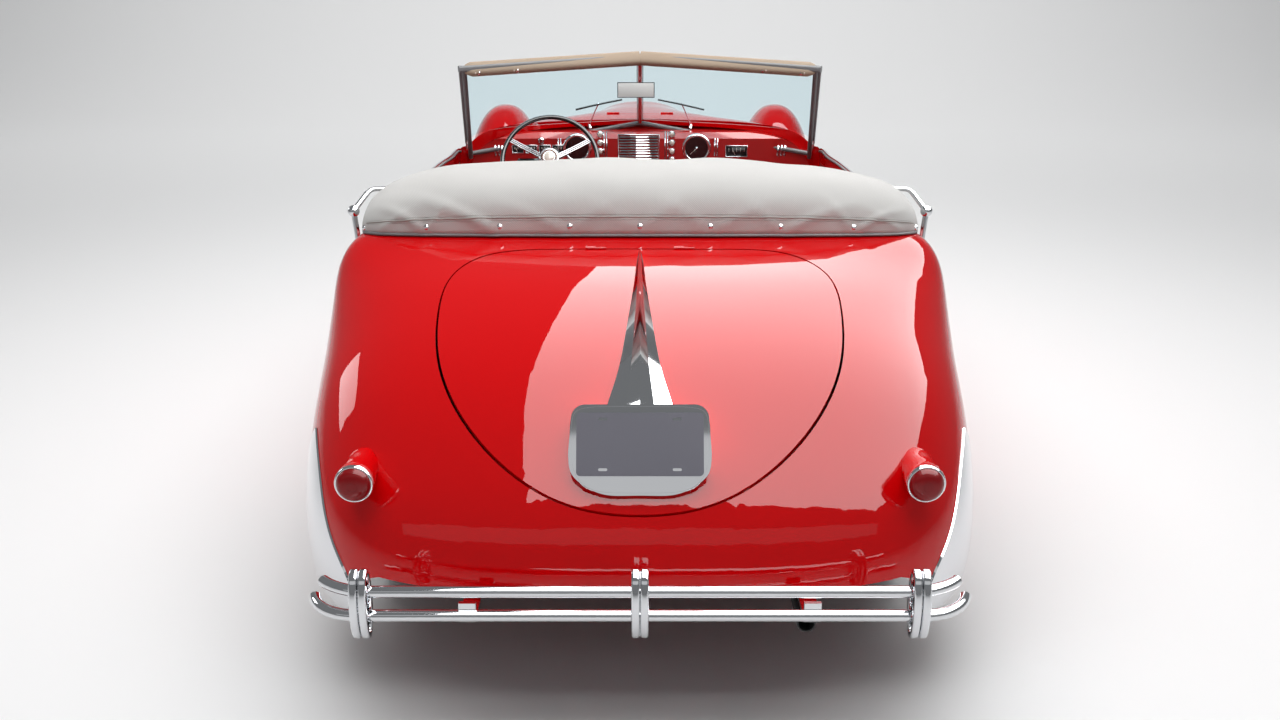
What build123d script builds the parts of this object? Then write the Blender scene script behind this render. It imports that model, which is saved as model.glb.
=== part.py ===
from build123d import *

import os
from math import cos, radians, sin

# Late-1930s coachbuilt two-door drophead, hood folded under its cover, as separate named pieces.
# Millimetres. +Y is forwards, +X is the car's right side, +Z is up. The origin is on the ground
# under the middle of the car. It is left-hand drive, with a front bench and a small rear bench.

# ---------------------------------------------------------------- driving dimensions
LENGTH = 5120.0  # over the bumpers
WHEELBASE = 3150.0
REAR_AXLE_Y = -1380.0
FRONT_AXLE_Y = REAR_AXLE_Y + WHEELBASE
HALF_TRACK = 735.0
SIDES = ((1, "right"), (-1, "left"))

CLEARANCE = 0.3  # where one piece seats on another
PANEL_GAP = 5.5  # shut line round everything that opens
RUNNING_GAP = 8.0  # between a moving panel and what stands beside it

BODY_LEVEL = 400.0  # height where the body is widest, and of the pivots that its ends fan about
SILL_Z = 262.0  # underside of the sills
SKIN = 14.0  # thickness of a skin with its inner stiffening
DOOR_WALL = 58.0  # thickness of a whole door
ARCH_RADIUS = 425.0

DOOR_REAR_Y = -620.0
DOOR_FRONT_Y = 690.0
DOOR_BOTTOM_Z = 330.0
DOOR_CORNER = 120.0
COCKPIT_HALF = 822.0
SCREEN_FOOT_Y = 838.0  # front of the cockpit opening on the centre line
SCREEN_SIDE_Y = 720.0  # and at its sides
WELL_REAR_Y = -1412.0  # rear edge of the hood well
POST_FOOT_Z = 1055.0  # lower end of the windscreen's side posts
POST_ROOM_INNER_X = 700.0  # the door's top is cut away under a post from here
POST_ROOM_SIDE = 12.0  # to this far outside the cockpit's side
POST_ROOM_REAR = 66.0  # and this far behind the screen's side
POST_ROOM_FRONT = 10.0
ABOVE_BODY_Z = 1300.0
COWL_Y = 1010.0  # rear edge of the bonnet
BONNET_Z = 800.0  # lower edge of the bonnet's sides
NOSE_CUT_Y = 1500.0  # ahead of here the body has no sills
NOSE_CUT_Z = 420.0
VALANCE_Z = 392.0  # lower edge of the tail between its deep corners
CORNER_Z = 262.0
NOSE_PIVOT_Y = 1900.0

# Tables down the car by y: half-width, height of the crown, squareness of the section,
# how far the curve starts above the body level, how far the flank hangs below it, and its tuck.
HALF_WIDTH = [
    (-1380, 935), (-1100, 928), (-850, 908), (-620, 890), (-200, 880), (300, 874),
    (690, 862), (850, 800), (1010, 712), (1180, 622), (1350, 548), (1650, 472), (1900, 425),
]
CROWN = [
    (-1380, 1062), (-1100, 1092), (-620, 1130), (-200, 1140), (300, 1140), (690, 1146),
    (850, 1155), (1010, 1160), (1350, 1158), (1650, 1148), (1900, 1132),
]
SQUARENESS = [
    (-1380, 8.0), (-1100, 8.8), (-620, 8.4), (300, 8.0), (690, 7.0), (850, 5.2), (1010, 3.8),
    (1350, 2.7), (1900, 2.3),
]
LOW_EDGE = [(-1380, 160), (-1080, 60), (-900, 0), (1350, 0), (1900, 160)]
FLANK_DROP = [(-1380, 100), (-900, BODY_LEVEL - SILL_Z), (1350, BODY_LEVEL - SILL_Z), (1900, 100)]
TUCK = [(-1380, 0), (-900, 22), (1350, 22), (1900, 0)]
WALL = [(-1380, SKIN), (-1050, 30), (-800, DOOR_WALL), (560, DOOR_WALL), (690, 46), (850, 20), (1010, SKIN)]
# Tables round the tail, by the angle of the plane behind the rear axle, from upright to below level.
TAIL_RADIUS = [
    (90, 662), (101, 641), (112, 652), (123, 684), (133, 730), (143, 795), (153, 872), (162, 945),
    (169, 1000), (175, 1042), (180, 1058), (186, 1052), (194, 1020), (202, 975),
]
TAIL_SQUARENESS = [(90, 8.0), (101, 5.8), (115, 4.3), (133, 3.5), (160, 3.25), (202, 3.2)]
# Tables round the nose, by the angle of the plane ahead of the nose pivot.
NOSE_RADIUS = [(-10, 540), (0, 548), (15, 562), (30, 588), (45, 632), (60, 680), (75, 712), (90, 732)]
NOSE_WIDTH = [(-10, 262), (0, 268), (30, 312), (60, 372), (90, 425)]
# Tables round a front wing, by the angle of the plane about the front axle, from below level ahead.
WING_RADIUS = [
    (-12, 596), (0, 618), (18, 645), (36, 674), (54, 702), (72, 722), (90, 727), (108, 718), (124, 708),
    (140, 722), (154, 768), (166, 845), (176, 925), (184, 975),
]
WING_HALF = [(-12, 166), (0, 178), (30, 196), (60, 204), (110, 204), (140, 190), (166, 164), (184, 140)]
WING_X = [(-12, 700), (0, 712), (30, 728), (60, 733), (110, 735), (140, 740), (166, 736), (184, 724)]
WING_SQUARENESS = 2.35
WING_SKIN = 12.0
WING_LOW_Z = 282.0
FAN_BASE = 160.0  # where the curve of a fanned section starts, from its pivot
FAN_DROP = 100.0

BODY_STATIONS = (1900, 1650, 1350, 1180, 1010, 850, 690, 450, 150, -200, -450, -620, -760, -900, -1080, -1240)
TAIL_STATIONS = (90, 98, 107, 117, 128, 140, 152, 163, 173, 182, 192, 202)
NOSE_STATIONS = (-10, 5, 20, 35, 50, 65, 78)
SECTION_ANGLES = (0, 16, 30, 38, 45, 52, 60, 74, 90)
SECTION_STEPS = (0.16, 0.16, 0.10, 0.09, 0.08, 0.09, 0.16, 0.16)  # share of a half section per step

# The boot lid's outline, drawn on a plane that lies along the deck: half-width and distance down it.
LID_TILT = radians(26.3)
LID_PLANE = Plane(origin=(0, -1500, 1024), x_dir=(1, 0, 0), z_dir=(0, -sin(LID_TILT), cos(LID_TILT)))
LID_HALF = [(250, -2), (430, -32), (520, -130), (545, -345), (500, -610), (370, -830), (205, -950)]
LID_END = 985.0

# Running gear.
TYRE_RADIUS = 360.0
TYRE_WIDTH = 164.0
TREAD_DROP = 18.0  # how far the tread falls, and narrows, to its shoulder
RIM_RADIUS = 208.0
RIM_WIDTH = 132.0
RIM_FLANGE = 14.0
HUB_CAP_RADIUS = 128.0
SPINDLE_R = 18.0
KINGPIN_X = 650.0
KINGPIN_R = 12.0
AXLE_BEAM_Z = 322.0
BACKPLATE_X = 700.0
BACKPLATE_R = 140.0
AXLE_TUBE_R = 38.0
SPRING_THICK = 30.0
SPRING_WIDTH = 50.0
REAR_SPRING_HALF = 470.0
FRONT_SPRING_HALF = 350.0

# Chassis: two rails whose tops run level under the floor and kick up over both axles.
RAIL_X = 400.0
RAIL_WIDTH = 60.0
RAIL_HEIGHT = 100.0
FLOOR_Z = 290.0
FLOOR_T = 12.0
FRONT_RAIL_TOP = 520.0
REAR_RAIL_TOP = 570.0
RAIL_FRONT_Y = LENGTH / 2 - 160.0  # rails end this far inside the overall length
RAIL_NOTCH = 3.0  # room round a rail where it passes through the nose
RAIL_REAR_Y = -LENGTH / 2 + 260.0
RAIL_TOP_LINE = [
    (RAIL_FRONT_Y, FRONT_RAIL_TOP), (1400, FRONT_RAIL_TOP), (1080, FLOOR_Z), (-660, FLOOR_Z),
    (-850, REAR_RAIL_TOP), (RAIL_REAR_Y, REAR_RAIL_TOP),
]
BULKHEAD_Y = 1015.0

# Bumpers.
BUMPER_TUBE_R = 14.0
BUMPER_Z = 415.0
BUMPER_PITCH = 61.0  # between the two tubes
BUMPER_ENDS = (775.0, 742.0)  # half-length of the lower and the upper tube
BUMPER_HOOKS = (1.0, 0.6)  # share of the hook that each tube takes
BUMPER_HOOK_WIDTH = 120.0
OVERRIDER_HEIGHT = 175.0
OVERRIDER_DEPTH = 38.0  # from the tubes' centre line to the front of an overrider
RIB_WIDTH = 20.0
RIB_PITCH = 21.0
RIB_T = 16.0
RIB_ROUND = 6.0
POST_HALF = 8.0
OVERRIDER_X = 645.0
BRACKET_T = 12.0
BRACKET_WIDTH = 40.0


def keep(name, part):
    """Names a finished piece and writes it."""
    part.label = name
    export_step(part, f"parts/{name}.step")
    return part

# Hinges: barrels on one pin line, taken in turn by the body and by the panel.
DOOR_HINGE_X = 868.0
DOOR_HINGE_Y = 693.0
DOOR_HINGE_LEVELS = (430.0, 740.0)
DOOR_HINGE_R = 4.5
DOOR_KNUCKLE = 32.0
HINGE_LUG = 18.0
LUG_T = 12.0
LUG_OFFSET = 6.5  # from a hinge's axis to the middle of its lug
LID_HINGE = LID_PLANE.from_local_coords(Vector(0, PANEL_GAP / 2, 9.0))
LID_HINGE_PLACES = (-130.0, 130.0)
LID_HINGE_R = 3.5
LID_KNUCKLE = 30.0
LID_LUG_TOP = 6.4
COWL_HINGE_Z = 1163.6
COWL_HINGE_LUG = (1154.0, 1163.0)

# Steering room cut from the body's flanks behind the front wheels.
STEER_ROOM_LOW = (455.0, 1395.0, 0.0)
STEER_ROOM_HIGH = (720.0, 1530.0, 578.0)

# Running gear.
SPRING_SHARES = (-1, -0.8, -0.55, -0.28, 0, 0.28, 0.55, 0.8, 1)
SPRING_END = 14.0
DIFFERENTIAL_R = 125.0
DIFFERENTIAL_HALF = 80.0


# ---------------------------------------------------------------- reading the tables
def smooth_table(table, at):
    """Reads a table of (place, value) with a cubic that runs smoothly through its rows."""
    if at <= table[0][0]:
        return table[0][1]
    if at >= table[-1][0]:
        return table[-1][1]
    k = next(i for i in range(len(table) - 1) if table[i + 1][0] >= at)
    (x0, y0), (x1, y1) = table[k], table[k + 1]
    before = table[k - 1] if k else (2 * x0 - x1, 2 * y0 - y1)
    after = table[k + 2] if k + 2 < len(table) else (2 * x1 - x0, 2 * y1 - y0)
    m0 = (y1 - before[1]) / (x1 - before[0])
    m1 = (after[1] - y0) / (after[0] - x0)
    h, t = x1 - x0, (at - x0) / (x1 - x0)
    return (
        (2 * t**3 - 3 * t**2 + 1) * y0
        + (t**3 - 2 * t**2 + t) * h * m0
        + (-2 * t**3 + 3 * t**2) * y1
        + (t**3 - t**2) * h * m1
    )


# ---------------------------------------------------------------- sections of the body and wings
def section(half, height, squareness, base, drop, tuck, inset):
    """One cross-section: its low left corner, the curve over the crown, and its low right corner.

    base is where the curve starts above the pivot, drop how far the flank goes on below it.
    """
    points = []
    for angle in SECTION_ANGLES:
        s, c = sin(radians(angle)), cos(radians(angle))
        size = (s**squareness + c**squareness) ** (-1 / squareness)
        points.append((size * s * (half - inset), base + size * c * (height - base - inset)))
    points[-1] = (half - inset, base)
    low = (half - inset - tuck, base - drop)
    left = [(-x, z) for x, z in reversed(points[1:])]
    return (-low[0], low[1]), left + points, low


def section_knots():
    """Where each point of a section lies along its curve, the same for every section."""
    half = [sum(SECTION_STEPS[:k]) / 2 for k in range(len(SECTION_ANGLES))]
    return [0.5 - place for place in reversed(half[1:])] + [0.5 + place for place in half]


def section_curve(line):
    """The curve over one section. All sections share their knots, which keeps the lofts light."""
    points = [Vector(x, z) for x, z in line]
    return Edge.make_spline(points, tangents=(Vector(0, 1), Vector(0, -1)), parameters=section_knots())


def band_face(plane, outer, inner):
    """A closed band between two section lines, drawn on a plane."""
    with BuildSketch(plane) as band:
        with BuildLine():
            for low_left, line, low_right in (outer, inner):
                Line(low_left, line[0])
                add(section_curve(line))
                Line(line[-1], low_right)
            Line(outer[0], inner[0])
            Line(outer[2], inner[2])
        make_face()
    return band.sketch.faces()[0]


def filled_face(plane, outer):
    """The same section filled in, for cutting what stands against it."""
    with BuildSketch(plane) as filled:
        with BuildLine():
            Line(outer[0], outer[1][0])
            add(section_curve(outer[1]))
            Line(outer[1][-1], outer[2])
            Line(outer[2], outer[0])
        make_face()
    return filled.sketch.faces()[0]


def upright_plane(y):
    return Plane(origin=(0, y, 0), x_dir=(1, 0, 0), z_dir=(0, -1, 0))


def fan_plane(pivot_y, angle, x=0.0):
    """A plane through a pivot line along X, turned so that its own Y runs outwards at the angle."""
    out = Vector(0, cos(radians(angle)), sin(radians(angle)))
    return Plane(origin=(x, pivot_y, BODY_LEVEL), x_dir=(1, 0, 0), z_dir=Vector(1, 0, 0).cross(out))


def station(y, grow, inset):
    """Plane and section across the body at one place along the car."""
    return upright_plane(y), section(
        smooth_table(HALF_WIDTH, y) + grow, smooth_table(CROWN, y) + grow, smooth_table(SQUARENESS, y),
        BODY_LEVEL + smooth_table(LOW_EDGE, y), smooth_table(FLANK_DROP, y), smooth_table(TUCK, y), inset)


def tail_station(angle, grow, inset):
    return fan_plane(REAR_AXLE_Y, angle), section(
        HALF_WIDTH[0][1] + grow, smooth_table(TAIL_RADIUS, angle) + grow,
        smooth_table(TAIL_SQUARENESS, angle), FAN_BASE, FAN_DROP, 0, inset)


def nose_station(angle, grow, inset):
    return fan_plane(NOSE_PIVOT_Y, angle), section(
        smooth_table(NOSE_WIDTH, angle) + grow, smooth_table(NOSE_RADIUS, angle) + grow,
        SQUARENESS[-1][1], FAN_BASE, FAN_DROP, 0, inset)


def body_stations(grow=0.0, wall=False):
    """Every station from the nose's underside back to the tail's, on the skin or on its inside."""
    def inset(y):
        return smooth_table(WALL, y) if wall else 0.0

    nose = [nose_station(angle, grow, inset(NOSE_PIVOT_Y)) for angle in NOSE_STATIONS]
    middle = [station(y, grow, inset(y)) for y in BODY_STATIONS]
    tail = [tail_station(angle, grow, inset(REAR_AXLE_Y)) for angle in TAIL_STATIONS]
    return nose + middle + tail


def body_shell():
    """The whole hollow body before its openings are cut."""
    with BuildPart() as shell:
        loft([band_face(plane, outer, inner)
              for (plane, outer), (_, inner) in zip(body_stations(), body_stations(wall=True))])
    return shell.part


def body_solid(grow):
    """The body filled in and grown by a clearance, which cuts whatever stands against it."""
    with BuildPart() as solid:
        loft([filled_face(plane, outer) for plane, outer in body_stations(grow)])
    return solid.part


def body_inside():
    """The room inside the body's walls, less a clearance, which trims what is fitted in it."""
    with BuildPart() as room:
        loft([filled_face(plane, outer) for plane, outer in body_stations(-CLEARANCE, wall=True)])
    return room.part


def wing_stations(side, grow=0.0, inset=0.0):
    """Sections of a front wing, each on its own plane about the front axle."""
    rows = []
    for angle, _ in WING_RADIUS:
        rows.append((fan_plane(FRONT_AXLE_Y, angle, side * smooth_table(WING_X, angle)), section(
            smooth_table(WING_HALF, angle) + grow, smooth_table(WING_RADIUS, angle) + grow,
            WING_SQUARENESS, FAN_BASE, FAN_DROP, 0, inset)))
    return rows


def wing_shell(side):
    with BuildPart() as wing:
        loft([band_face(plane, outer, inner) for (plane, outer), (_, inner)
              in zip(wing_stations(side), wing_stations(side, inset=WING_SKIN))])
    return wing.part


def wing_solid(side, grow):
    with BuildPart() as wing:
        loft([filled_face(plane, outer) for plane, outer in wing_stations(side, grow)])
    return wing.part


# ---------------------------------------------------------------- cutters shared by the panels
def door_prism(side, gap):
    """The door's outline from the side, grown by a gap, through one side of the body."""
    rear, front, bottom = DOOR_REAR_Y - gap, DOOR_FRONT_Y + gap, DOOR_BOTTOM_Z - gap
    corner_in = DOOR_CORNER * (1 - cos(radians(45)))
    with BuildPart() as prism:
        with BuildSketch(Plane.YZ.offset(side * 560)):
            with BuildLine():
                Line((front, 1400), (front, bottom))
                Line((front, bottom), (rear + DOOR_CORNER, bottom))
                ThreePointArc(
                    (rear + DOOR_CORNER, bottom),
                    (rear + corner_in, bottom + corner_in),
                    (rear, bottom + DOOR_CORNER))
                Line((rear, bottom + DOOR_CORNER), (rear, 1400))
                Line((rear, 1400), (front, 1400))
            make_face()
        extrude(amount=side * 500)
    return prism.part


def lid_prism(gap):
    """The boot lid's shield outline, grown by a gap, through the deck."""
    with BuildPart() as prism:
        with BuildSketch(LID_PLANE.offset(-460)):
            with BuildLine():
                right = [(x + gap * min(1, x / 400), y + (gap if y > -100 else 0) - (gap if y < -600 else 0))
                         for x, y in LID_HALF]
                left = [(-x, y) for x, y in reversed(right)]
                Spline([(0, gap), *right, (0, -LID_END - gap), *left, (0, gap)], tangents=((1, 0), (1, 0)))
            make_face()
        extrude(amount=700)
    return prism.part


def cockpit_prism():
    """What is open above the belt: cabin and hood well, with the V of the windscreen at its front."""
    half = COCKPIT_HALF
    right = [
        (half - 36, SCREEN_SIDE_Y), (half, SCREEN_SIDE_Y - 90), (half, WELL_REAR_Y + 250),
        (half - 90, WELL_REAR_Y + 80), (half - 300, WELL_REAR_Y),
    ]
    left = [(-x, y) for x, y in reversed(right)]
    with BuildPart() as prism:
        with BuildSketch(Plane.XY.offset(BODY_LEVEL)):
            with BuildLine():
                Polyline((0, SCREEN_FOOT_Y), *right, *left, close=True)
            make_face()
        extrude(amount=1000)
    return prism.part


def box_between(low, high):
    """A plain block between two corners."""
    with BuildPart() as block:
        with Locations([((low[0] + high[0]) / 2, (low[1] + high[1]) / 2, (low[2] + high[2]) / 2)]):
            Box(high[0] - low[0], high[1] - low[1], high[2] - low[2])
    return block.part


def cross_cylinder(x, y, z, radius, half_length):
    """A cylinder along X."""
    with BuildPart() as drum:
        with Locations(Location((x, y, z), (0, 90, 0))):
            Cylinder(radius, 2 * half_length)
    return drum.part


def under_tail():
    """What is cut away below the tail: a shallow valance between the deep rear corners."""
    with BuildPart() as cut:
        with BuildSketch(Plane.XZ.offset(1300)):
            with BuildLine():
                Polyline((0, -100), (0, VALANCE_Z), (640, VALANCE_Z), (800, VALANCE_Z - 60),
                         (880, CORNER_Z + 10), (1100, CORNER_Z), (1100, -100), close=True)
            make_face()
            mirror(about=Plane.YZ)
        extrude(amount=1300)
    return cut.part


# ---------------------------------------------------------------- body panels
def door_knuckle(side, low_z, high_z, way):
    """A door hinge's barrel with the lug that joins it to the body (way 1) or to the door (way -1)."""
    with BuildPart() as barrel:
        with BuildSketch(Plane.XY.offset(low_z)):
            with Locations((side * DOOR_HINGE_X, DOOR_HINGE_Y)):
                Circle(DOOR_HINGE_R)
        extrude(amount=high_z - low_z)
        with BuildSketch(Plane.XY.offset(low_z)):
            with Locations((side * (DOOR_HINGE_X - HINGE_LUG / 2), DOOR_HINGE_Y + way * LUG_OFFSET)):
                Rectangle(HINGE_LUG, LUG_T)
        extrude(amount=high_z - low_z)
    return barrel.part


def lid_knuckle(low_x, high_x, way):
    """A boot hinge's barrel with the lug that joins it to the deck (way 1) or to the lid (way -1)."""
    middle = (low_x + high_x) / 2
    with BuildPart() as barrel:
        with BuildSketch(Plane.YZ.offset(low_x)):
            with Locations((LID_HINGE.Y, LID_HINGE.Z)):
                Circle(LID_HINGE_R)
        extrude(amount=high_x - low_x)
        with BuildSketch(LID_PLANE):
            with Locations((middle, PANEL_GAP / 2 + way * LUG_OFFSET)):
                Rectangle(high_x - low_x, LUG_T)
        extrude(amount=LID_LUG_TOP)
    return barrel.part


def cowl_knuckle(low_x, high_x, way):
    """A bonnet hinge's barrel with the lug that joins it to the bonnet (way 1) or to the cowl (way -1)."""
    y = COWL_Y + PANEL_GAP / 2
    with BuildPart() as barrel:
        with BuildSketch(Plane.YZ.offset(low_x)):
            with Locations((y, COWL_HINGE_Z)):
                Circle(LID_HINGE_R)
        extrude(amount=high_x - low_x)
        near, far = y + way * LUG_OFFSET - LUG_T / 2, y + way * LUG_OFFSET + LUG_T / 2
        add(box_between((low_x, near, COWL_HINGE_LUG[0]), (high_x, far, COWL_HINGE_LUG[1])))
    return barrel.part


def make_body(shell):
    """Body tub, doors, boot lid and bonnet, all cut from one shell along the real shut lines."""
    with BuildPart() as trimmed:
        add(shell)
        add(cross_cylinder(0, REAR_AXLE_Y, BODY_LEVEL, ARCH_RADIUS, 1100), mode=Mode.SUBTRACT)
        add(box_between((-1100, REAR_AXLE_Y - 380, 0), (1100, REAR_AXLE_Y + ARCH_RADIUS, SILL_Z)),
            mode=Mode.SUBTRACT)
        add(under_tail(), mode=Mode.SUBTRACT)
        add(cockpit_prism(), mode=Mode.SUBTRACT)
        add(box_between((-600, NOSE_CUT_Y, 0), (600, LENGTH / 2, NOSE_CUT_Z)), mode=Mode.SUBTRACT)
        add(grille_opening(0), mode=Mode.SUBTRACT)
        for side, _ in SIDES:
            add(box_between(
                (side * RAIL_X - RAIL_WIDTH / 2 - RAIL_NOTCH, NOSE_CUT_Y, 0),
                (side * RAIL_X + RAIL_WIDTH / 2 + RAIL_NOTCH, LENGTH / 2, FRONT_RAIL_TOP + RAIL_NOTCH)),
                mode=Mode.SUBTRACT)
            low, high = STEER_ROOM_LOW, STEER_ROOM_HIGH
            add(box_between((min(side * low[0], side * high[0]), low[1], low[2]),
                            (max(side * low[0], side * high[0]), high[1], high[2])), mode=Mode.SUBTRACT)
    with BuildPart() as bonnet:
        add(trimmed.part)
        add(bonnet_block(0), mode=Mode.INTERSECT)
        for x in LID_HINGE_PLACES:
            add(cowl_knuckle(x + CLEARANCE / 2, x + LID_KNUCKLE, 1))
    keep("bonnet", bonnet.part)
    with BuildPart() as boot_lid:
        add(trimmed.part)
        add(lid_prism(0), mode=Mode.INTERSECT)
        for x in LID_HINGE_PLACES:
            add(lid_knuckle(x + CLEARANCE / 2, x + LID_KNUCKLE, -1))
    keep("boot_lid", boot_lid.part)
    for side, name in SIDES:
        near, far = side * POST_ROOM_INNER_X, side * (COCKPIT_HALF + POST_ROOM_SIDE)
        with BuildPart() as door:
            add(trimmed.part)
            add(door_prism(side, 0), mode=Mode.INTERSECT)
            add(box_between((min(near, far), SCREEN_SIDE_Y - POST_ROOM_REAR, POST_FOOT_Z - RUNNING_GAP),
                            (max(near, far), DOOR_FRONT_Y + POST_ROOM_FRONT, ABOVE_BODY_Z)),
                mode=Mode.SUBTRACT)
            for z in DOOR_HINGE_LEVELS:
                add(door_knuckle(side, z + CLEARANCE / 2, z + DOOR_KNUCKLE, -1))
        keep(f"door_{name}", door.part)
    with BuildPart() as tub:
        add(trimmed.part)
        add(bonnet_block(PANEL_GAP), mode=Mode.SUBTRACT)
        add(lid_prism(PANEL_GAP), mode=Mode.SUBTRACT)
        for side, _ in SIDES:
            add(door_prism(side, PANEL_GAP), mode=Mode.SUBTRACT)
            for z in DOOR_HINGE_LEVELS:
                add(door_knuckle(side, z - DOOR_KNUCKLE, z - CLEARANCE / 2, 1))
        for x in LID_HINGE_PLACES:
            add(lid_knuckle(x - LID_KNUCKLE, x - CLEARANCE / 2, 1))
            add(cowl_knuckle(x - LID_KNUCKLE, x - CLEARANCE / 2, -1))
    keep("body_tub", tub.part)


def bonnet_block(gap):
    """All of the body ahead of the cowl and above the bonnet's lower edge."""
    return box_between((-900, COWL_Y + PANEL_GAP - gap, BONNET_Z - gap), (900, 2700, 1400))


# ---------------------------------------------------------------- front wings, lamps, apron, grille
LAMP_X = 735.0
LAMP_Z = 742.0
LAMP_FACE_Y = 2384.0
LAMP_RADIUS = 112.0
LAMP_LENGTH = 330.0
LAMP_RIM = 12.0
LENS_CROWN = 22.0
APRON_TOP = [(1480, 735), (1800, 718), (2080, 692), (2270, 632), (2345, 536)]
APRON_T = 11.0
APRON_HALF = 560.0
GRILLE_TOP = 772.0
GRILLE_LOW = 452.0
GRILLE_HALF = 168.0
GRILLE_RIM = 16.0
GRILLE_PITCH = 22.0
GRILLE_GAP = 13.0


def lamp_body(side, grow=0.0):
    """Bullet headlamp, turned about its own axis; it lies in the front of the wing."""
    radius, length, shoulder = LAMP_RADIUS + grow, LAMP_LENGTH + grow, -70.0
    centre = (side * LAMP_X, LAMP_FACE_Y, LAMP_Z)
    with BuildPart() as lamp:
        with BuildSketch(Plane(origin=centre, x_dir=(1, 0, 0), z_dir=(0, 0, 1))):
            with BuildLine():
                Line((0, grow), (radius, grow))
                Line((radius, grow), (radius, shoulder))
                Spline((radius, shoulder), (radius * 0.78, (shoulder - length) / 2), (0, -length),
                       tangents=((0, -1), (-1, 0)))
                Line((0, -length), (0, grow))
            make_face()
        revolve(axis=Axis(centre, (0, 1, 0)))
    return lamp.part


def make_wings(body_cut, bonnet_room):
    """Front wings, each with its arch cut and its headlamp's seat bored."""
    for side, name in SIDES:
        with BuildPart() as wing:
            add(wing_shell(side))
            add(cross_cylinder(0, FRONT_AXLE_Y, BODY_LEVEL, ARCH_RADIUS, 1100), mode=Mode.SUBTRACT)
            add(body_cut, mode=Mode.SUBTRACT)
            add(bonnet_room, mode=Mode.SUBTRACT)
            add(box_between((-1100, 0, 0), (1100, LENGTH / 2, WING_LOW_Z)), mode=Mode.SUBTRACT)
            add(lamp_body(side, CLEARANCE), mode=Mode.SUBTRACT)
            with Locations(Location((side * LAMP_X, LAMP_FACE_Y + 40, LAMP_Z), (90, 0, 0))):
                Cylinder(LAMP_RADIUS + CLEARANCE, 80, mode=Mode.SUBTRACT)
        keep(f"wing_{name}", largest(wing.part))


def largest(part):
    """The biggest solid of a cut piece, without the crumbs beyond its cutter."""
    return part.solids().sort_by(SortBy.VOLUME)[-1]


def make_headlamps():
    """Both headlamps in one node, each hollow at the front, and their lenses in another."""
    shells, lenses = [], []
    for side, _ in SIDES:
        centre = (side * LAMP_X, LAMP_FACE_Y, LAMP_Z)
        with BuildPart() as shell:
            add(lamp_body(side))
            with Locations(Location(centre, (-90, 0, 0))):
                Cylinder(LAMP_RADIUS - LAMP_RIM, 50, mode=Mode.SUBTRACT)
        shells.append(shell.part)
        rim = LAMP_RADIUS - LAMP_RIM - CLEARANCE
        with BuildPart() as lens:
            with BuildSketch(Plane(origin=centre, x_dir=(1, 0, 0), z_dir=(0, 0, 1))):
                with BuildLine():
                    Polyline((0, LENS_CROWN), (0, -10), (rim, -10), (rim, 0))
                    Spline((rim, 0), (0, LENS_CROWN), tangents=((-0.4, 1), (-1, 0)))
                make_face()
            revolve(axis=Axis(centre, (0, 1, 0)))
        lenses.append(lens.part)
    keep("headlamps", Compound(children=shells))
    keep("headlamp_lenses", Compound(children=lenses))


def make_front_apron(body_cut, bonnet_room):
    """The pans that close the valleys between the nose and the wings."""
    under = [(y - APRON_T, z - APRON_T) for y, z in reversed(APRON_TOP)]
    with BuildPart() as apron:
        with BuildSketch(Plane.YZ.offset(-APRON_HALF)):
            with BuildLine():
                Spline(APRON_TOP)
                Line(APRON_TOP[-1], under[0])
                Spline(under)
                Line(under[-1], APRON_TOP[0])
            make_face()
        extrude(amount=2 * APRON_HALF)
        add(body_cut, mode=Mode.SUBTRACT)
        add(bonnet_room, mode=Mode.SUBTRACT)
        for side, _ in SIDES:
            add(wing_solid(side, CLEARANCE), mode=Mode.SUBTRACT)
    keep("front_apron", Compound(children=apron.part.solids().sort_by(SortBy.VOLUME)[-2:]))


def grille_opening(grow):
    """The grille opening, drawn on the front and cut straight back through the nose."""
    half, top, low = GRILLE_HALF + grow, GRILLE_TOP + grow, GRILLE_LOW - grow
    with BuildPart() as cut:
        with BuildSketch(Plane.XZ.offset(-2100)):
            with BuildLine():
                Spline((0, top), (half * 0.72, top - 44), (half, top - 130), (half * 0.86, low + 62),
                       (half * 0.5, low), tangents=((1, 0), (-1, -0.35)))
                Line((half * 0.5, low), (0, low))
                mirror(about=Plane.YZ)
            make_face()
        extrude(amount=-400)
    return cut.part


def make_grille(shell):
    """Prow grille: a rim and upright bars that follow the nose's curve."""
    with BuildPart() as grille:
        add(shell)
        add(grille_opening(-CLEARANCE), mode=Mode.INTERSECT)
        with BuildPart(mode=Mode.SUBTRACT):
            columns = int(GRILLE_HALF // GRILLE_PITCH)
            with Locations([((k + 0.5) * GRILLE_PITCH, 2300, (GRILLE_TOP + GRILLE_LOW) / 2)
                            for k in range(-columns, columns)]):
                Box(GRILLE_GAP, 500, GRILLE_TOP - GRILLE_LOW)
            add(grille_opening(-GRILLE_RIM), mode=Mode.INTERSECT)
    keep("grille", grille.part)


# ---------------------------------------------------------------- windscreen
SCREEN_FOOT = Vector(0, 862, 1118)  # outer corners of the right half, all in one plane
SCREEN_SIDE_FOOT = Vector(806, 724, 985)
SCREEN_TOP = Vector(0, 500, 1462)
SCREEN_SIDE_TOP_X = 764.0
SCREEN_SIDE_TOP_Z = 1424.0
SCREEN_FRAME_T = 30.0
SCREEN_POST = 30.0  # width of the frame's members in the plane of the glass
GLASS_T = 6.0
HEADER_T = 46.0
HEADER_HEIGHT = 26.0


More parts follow.
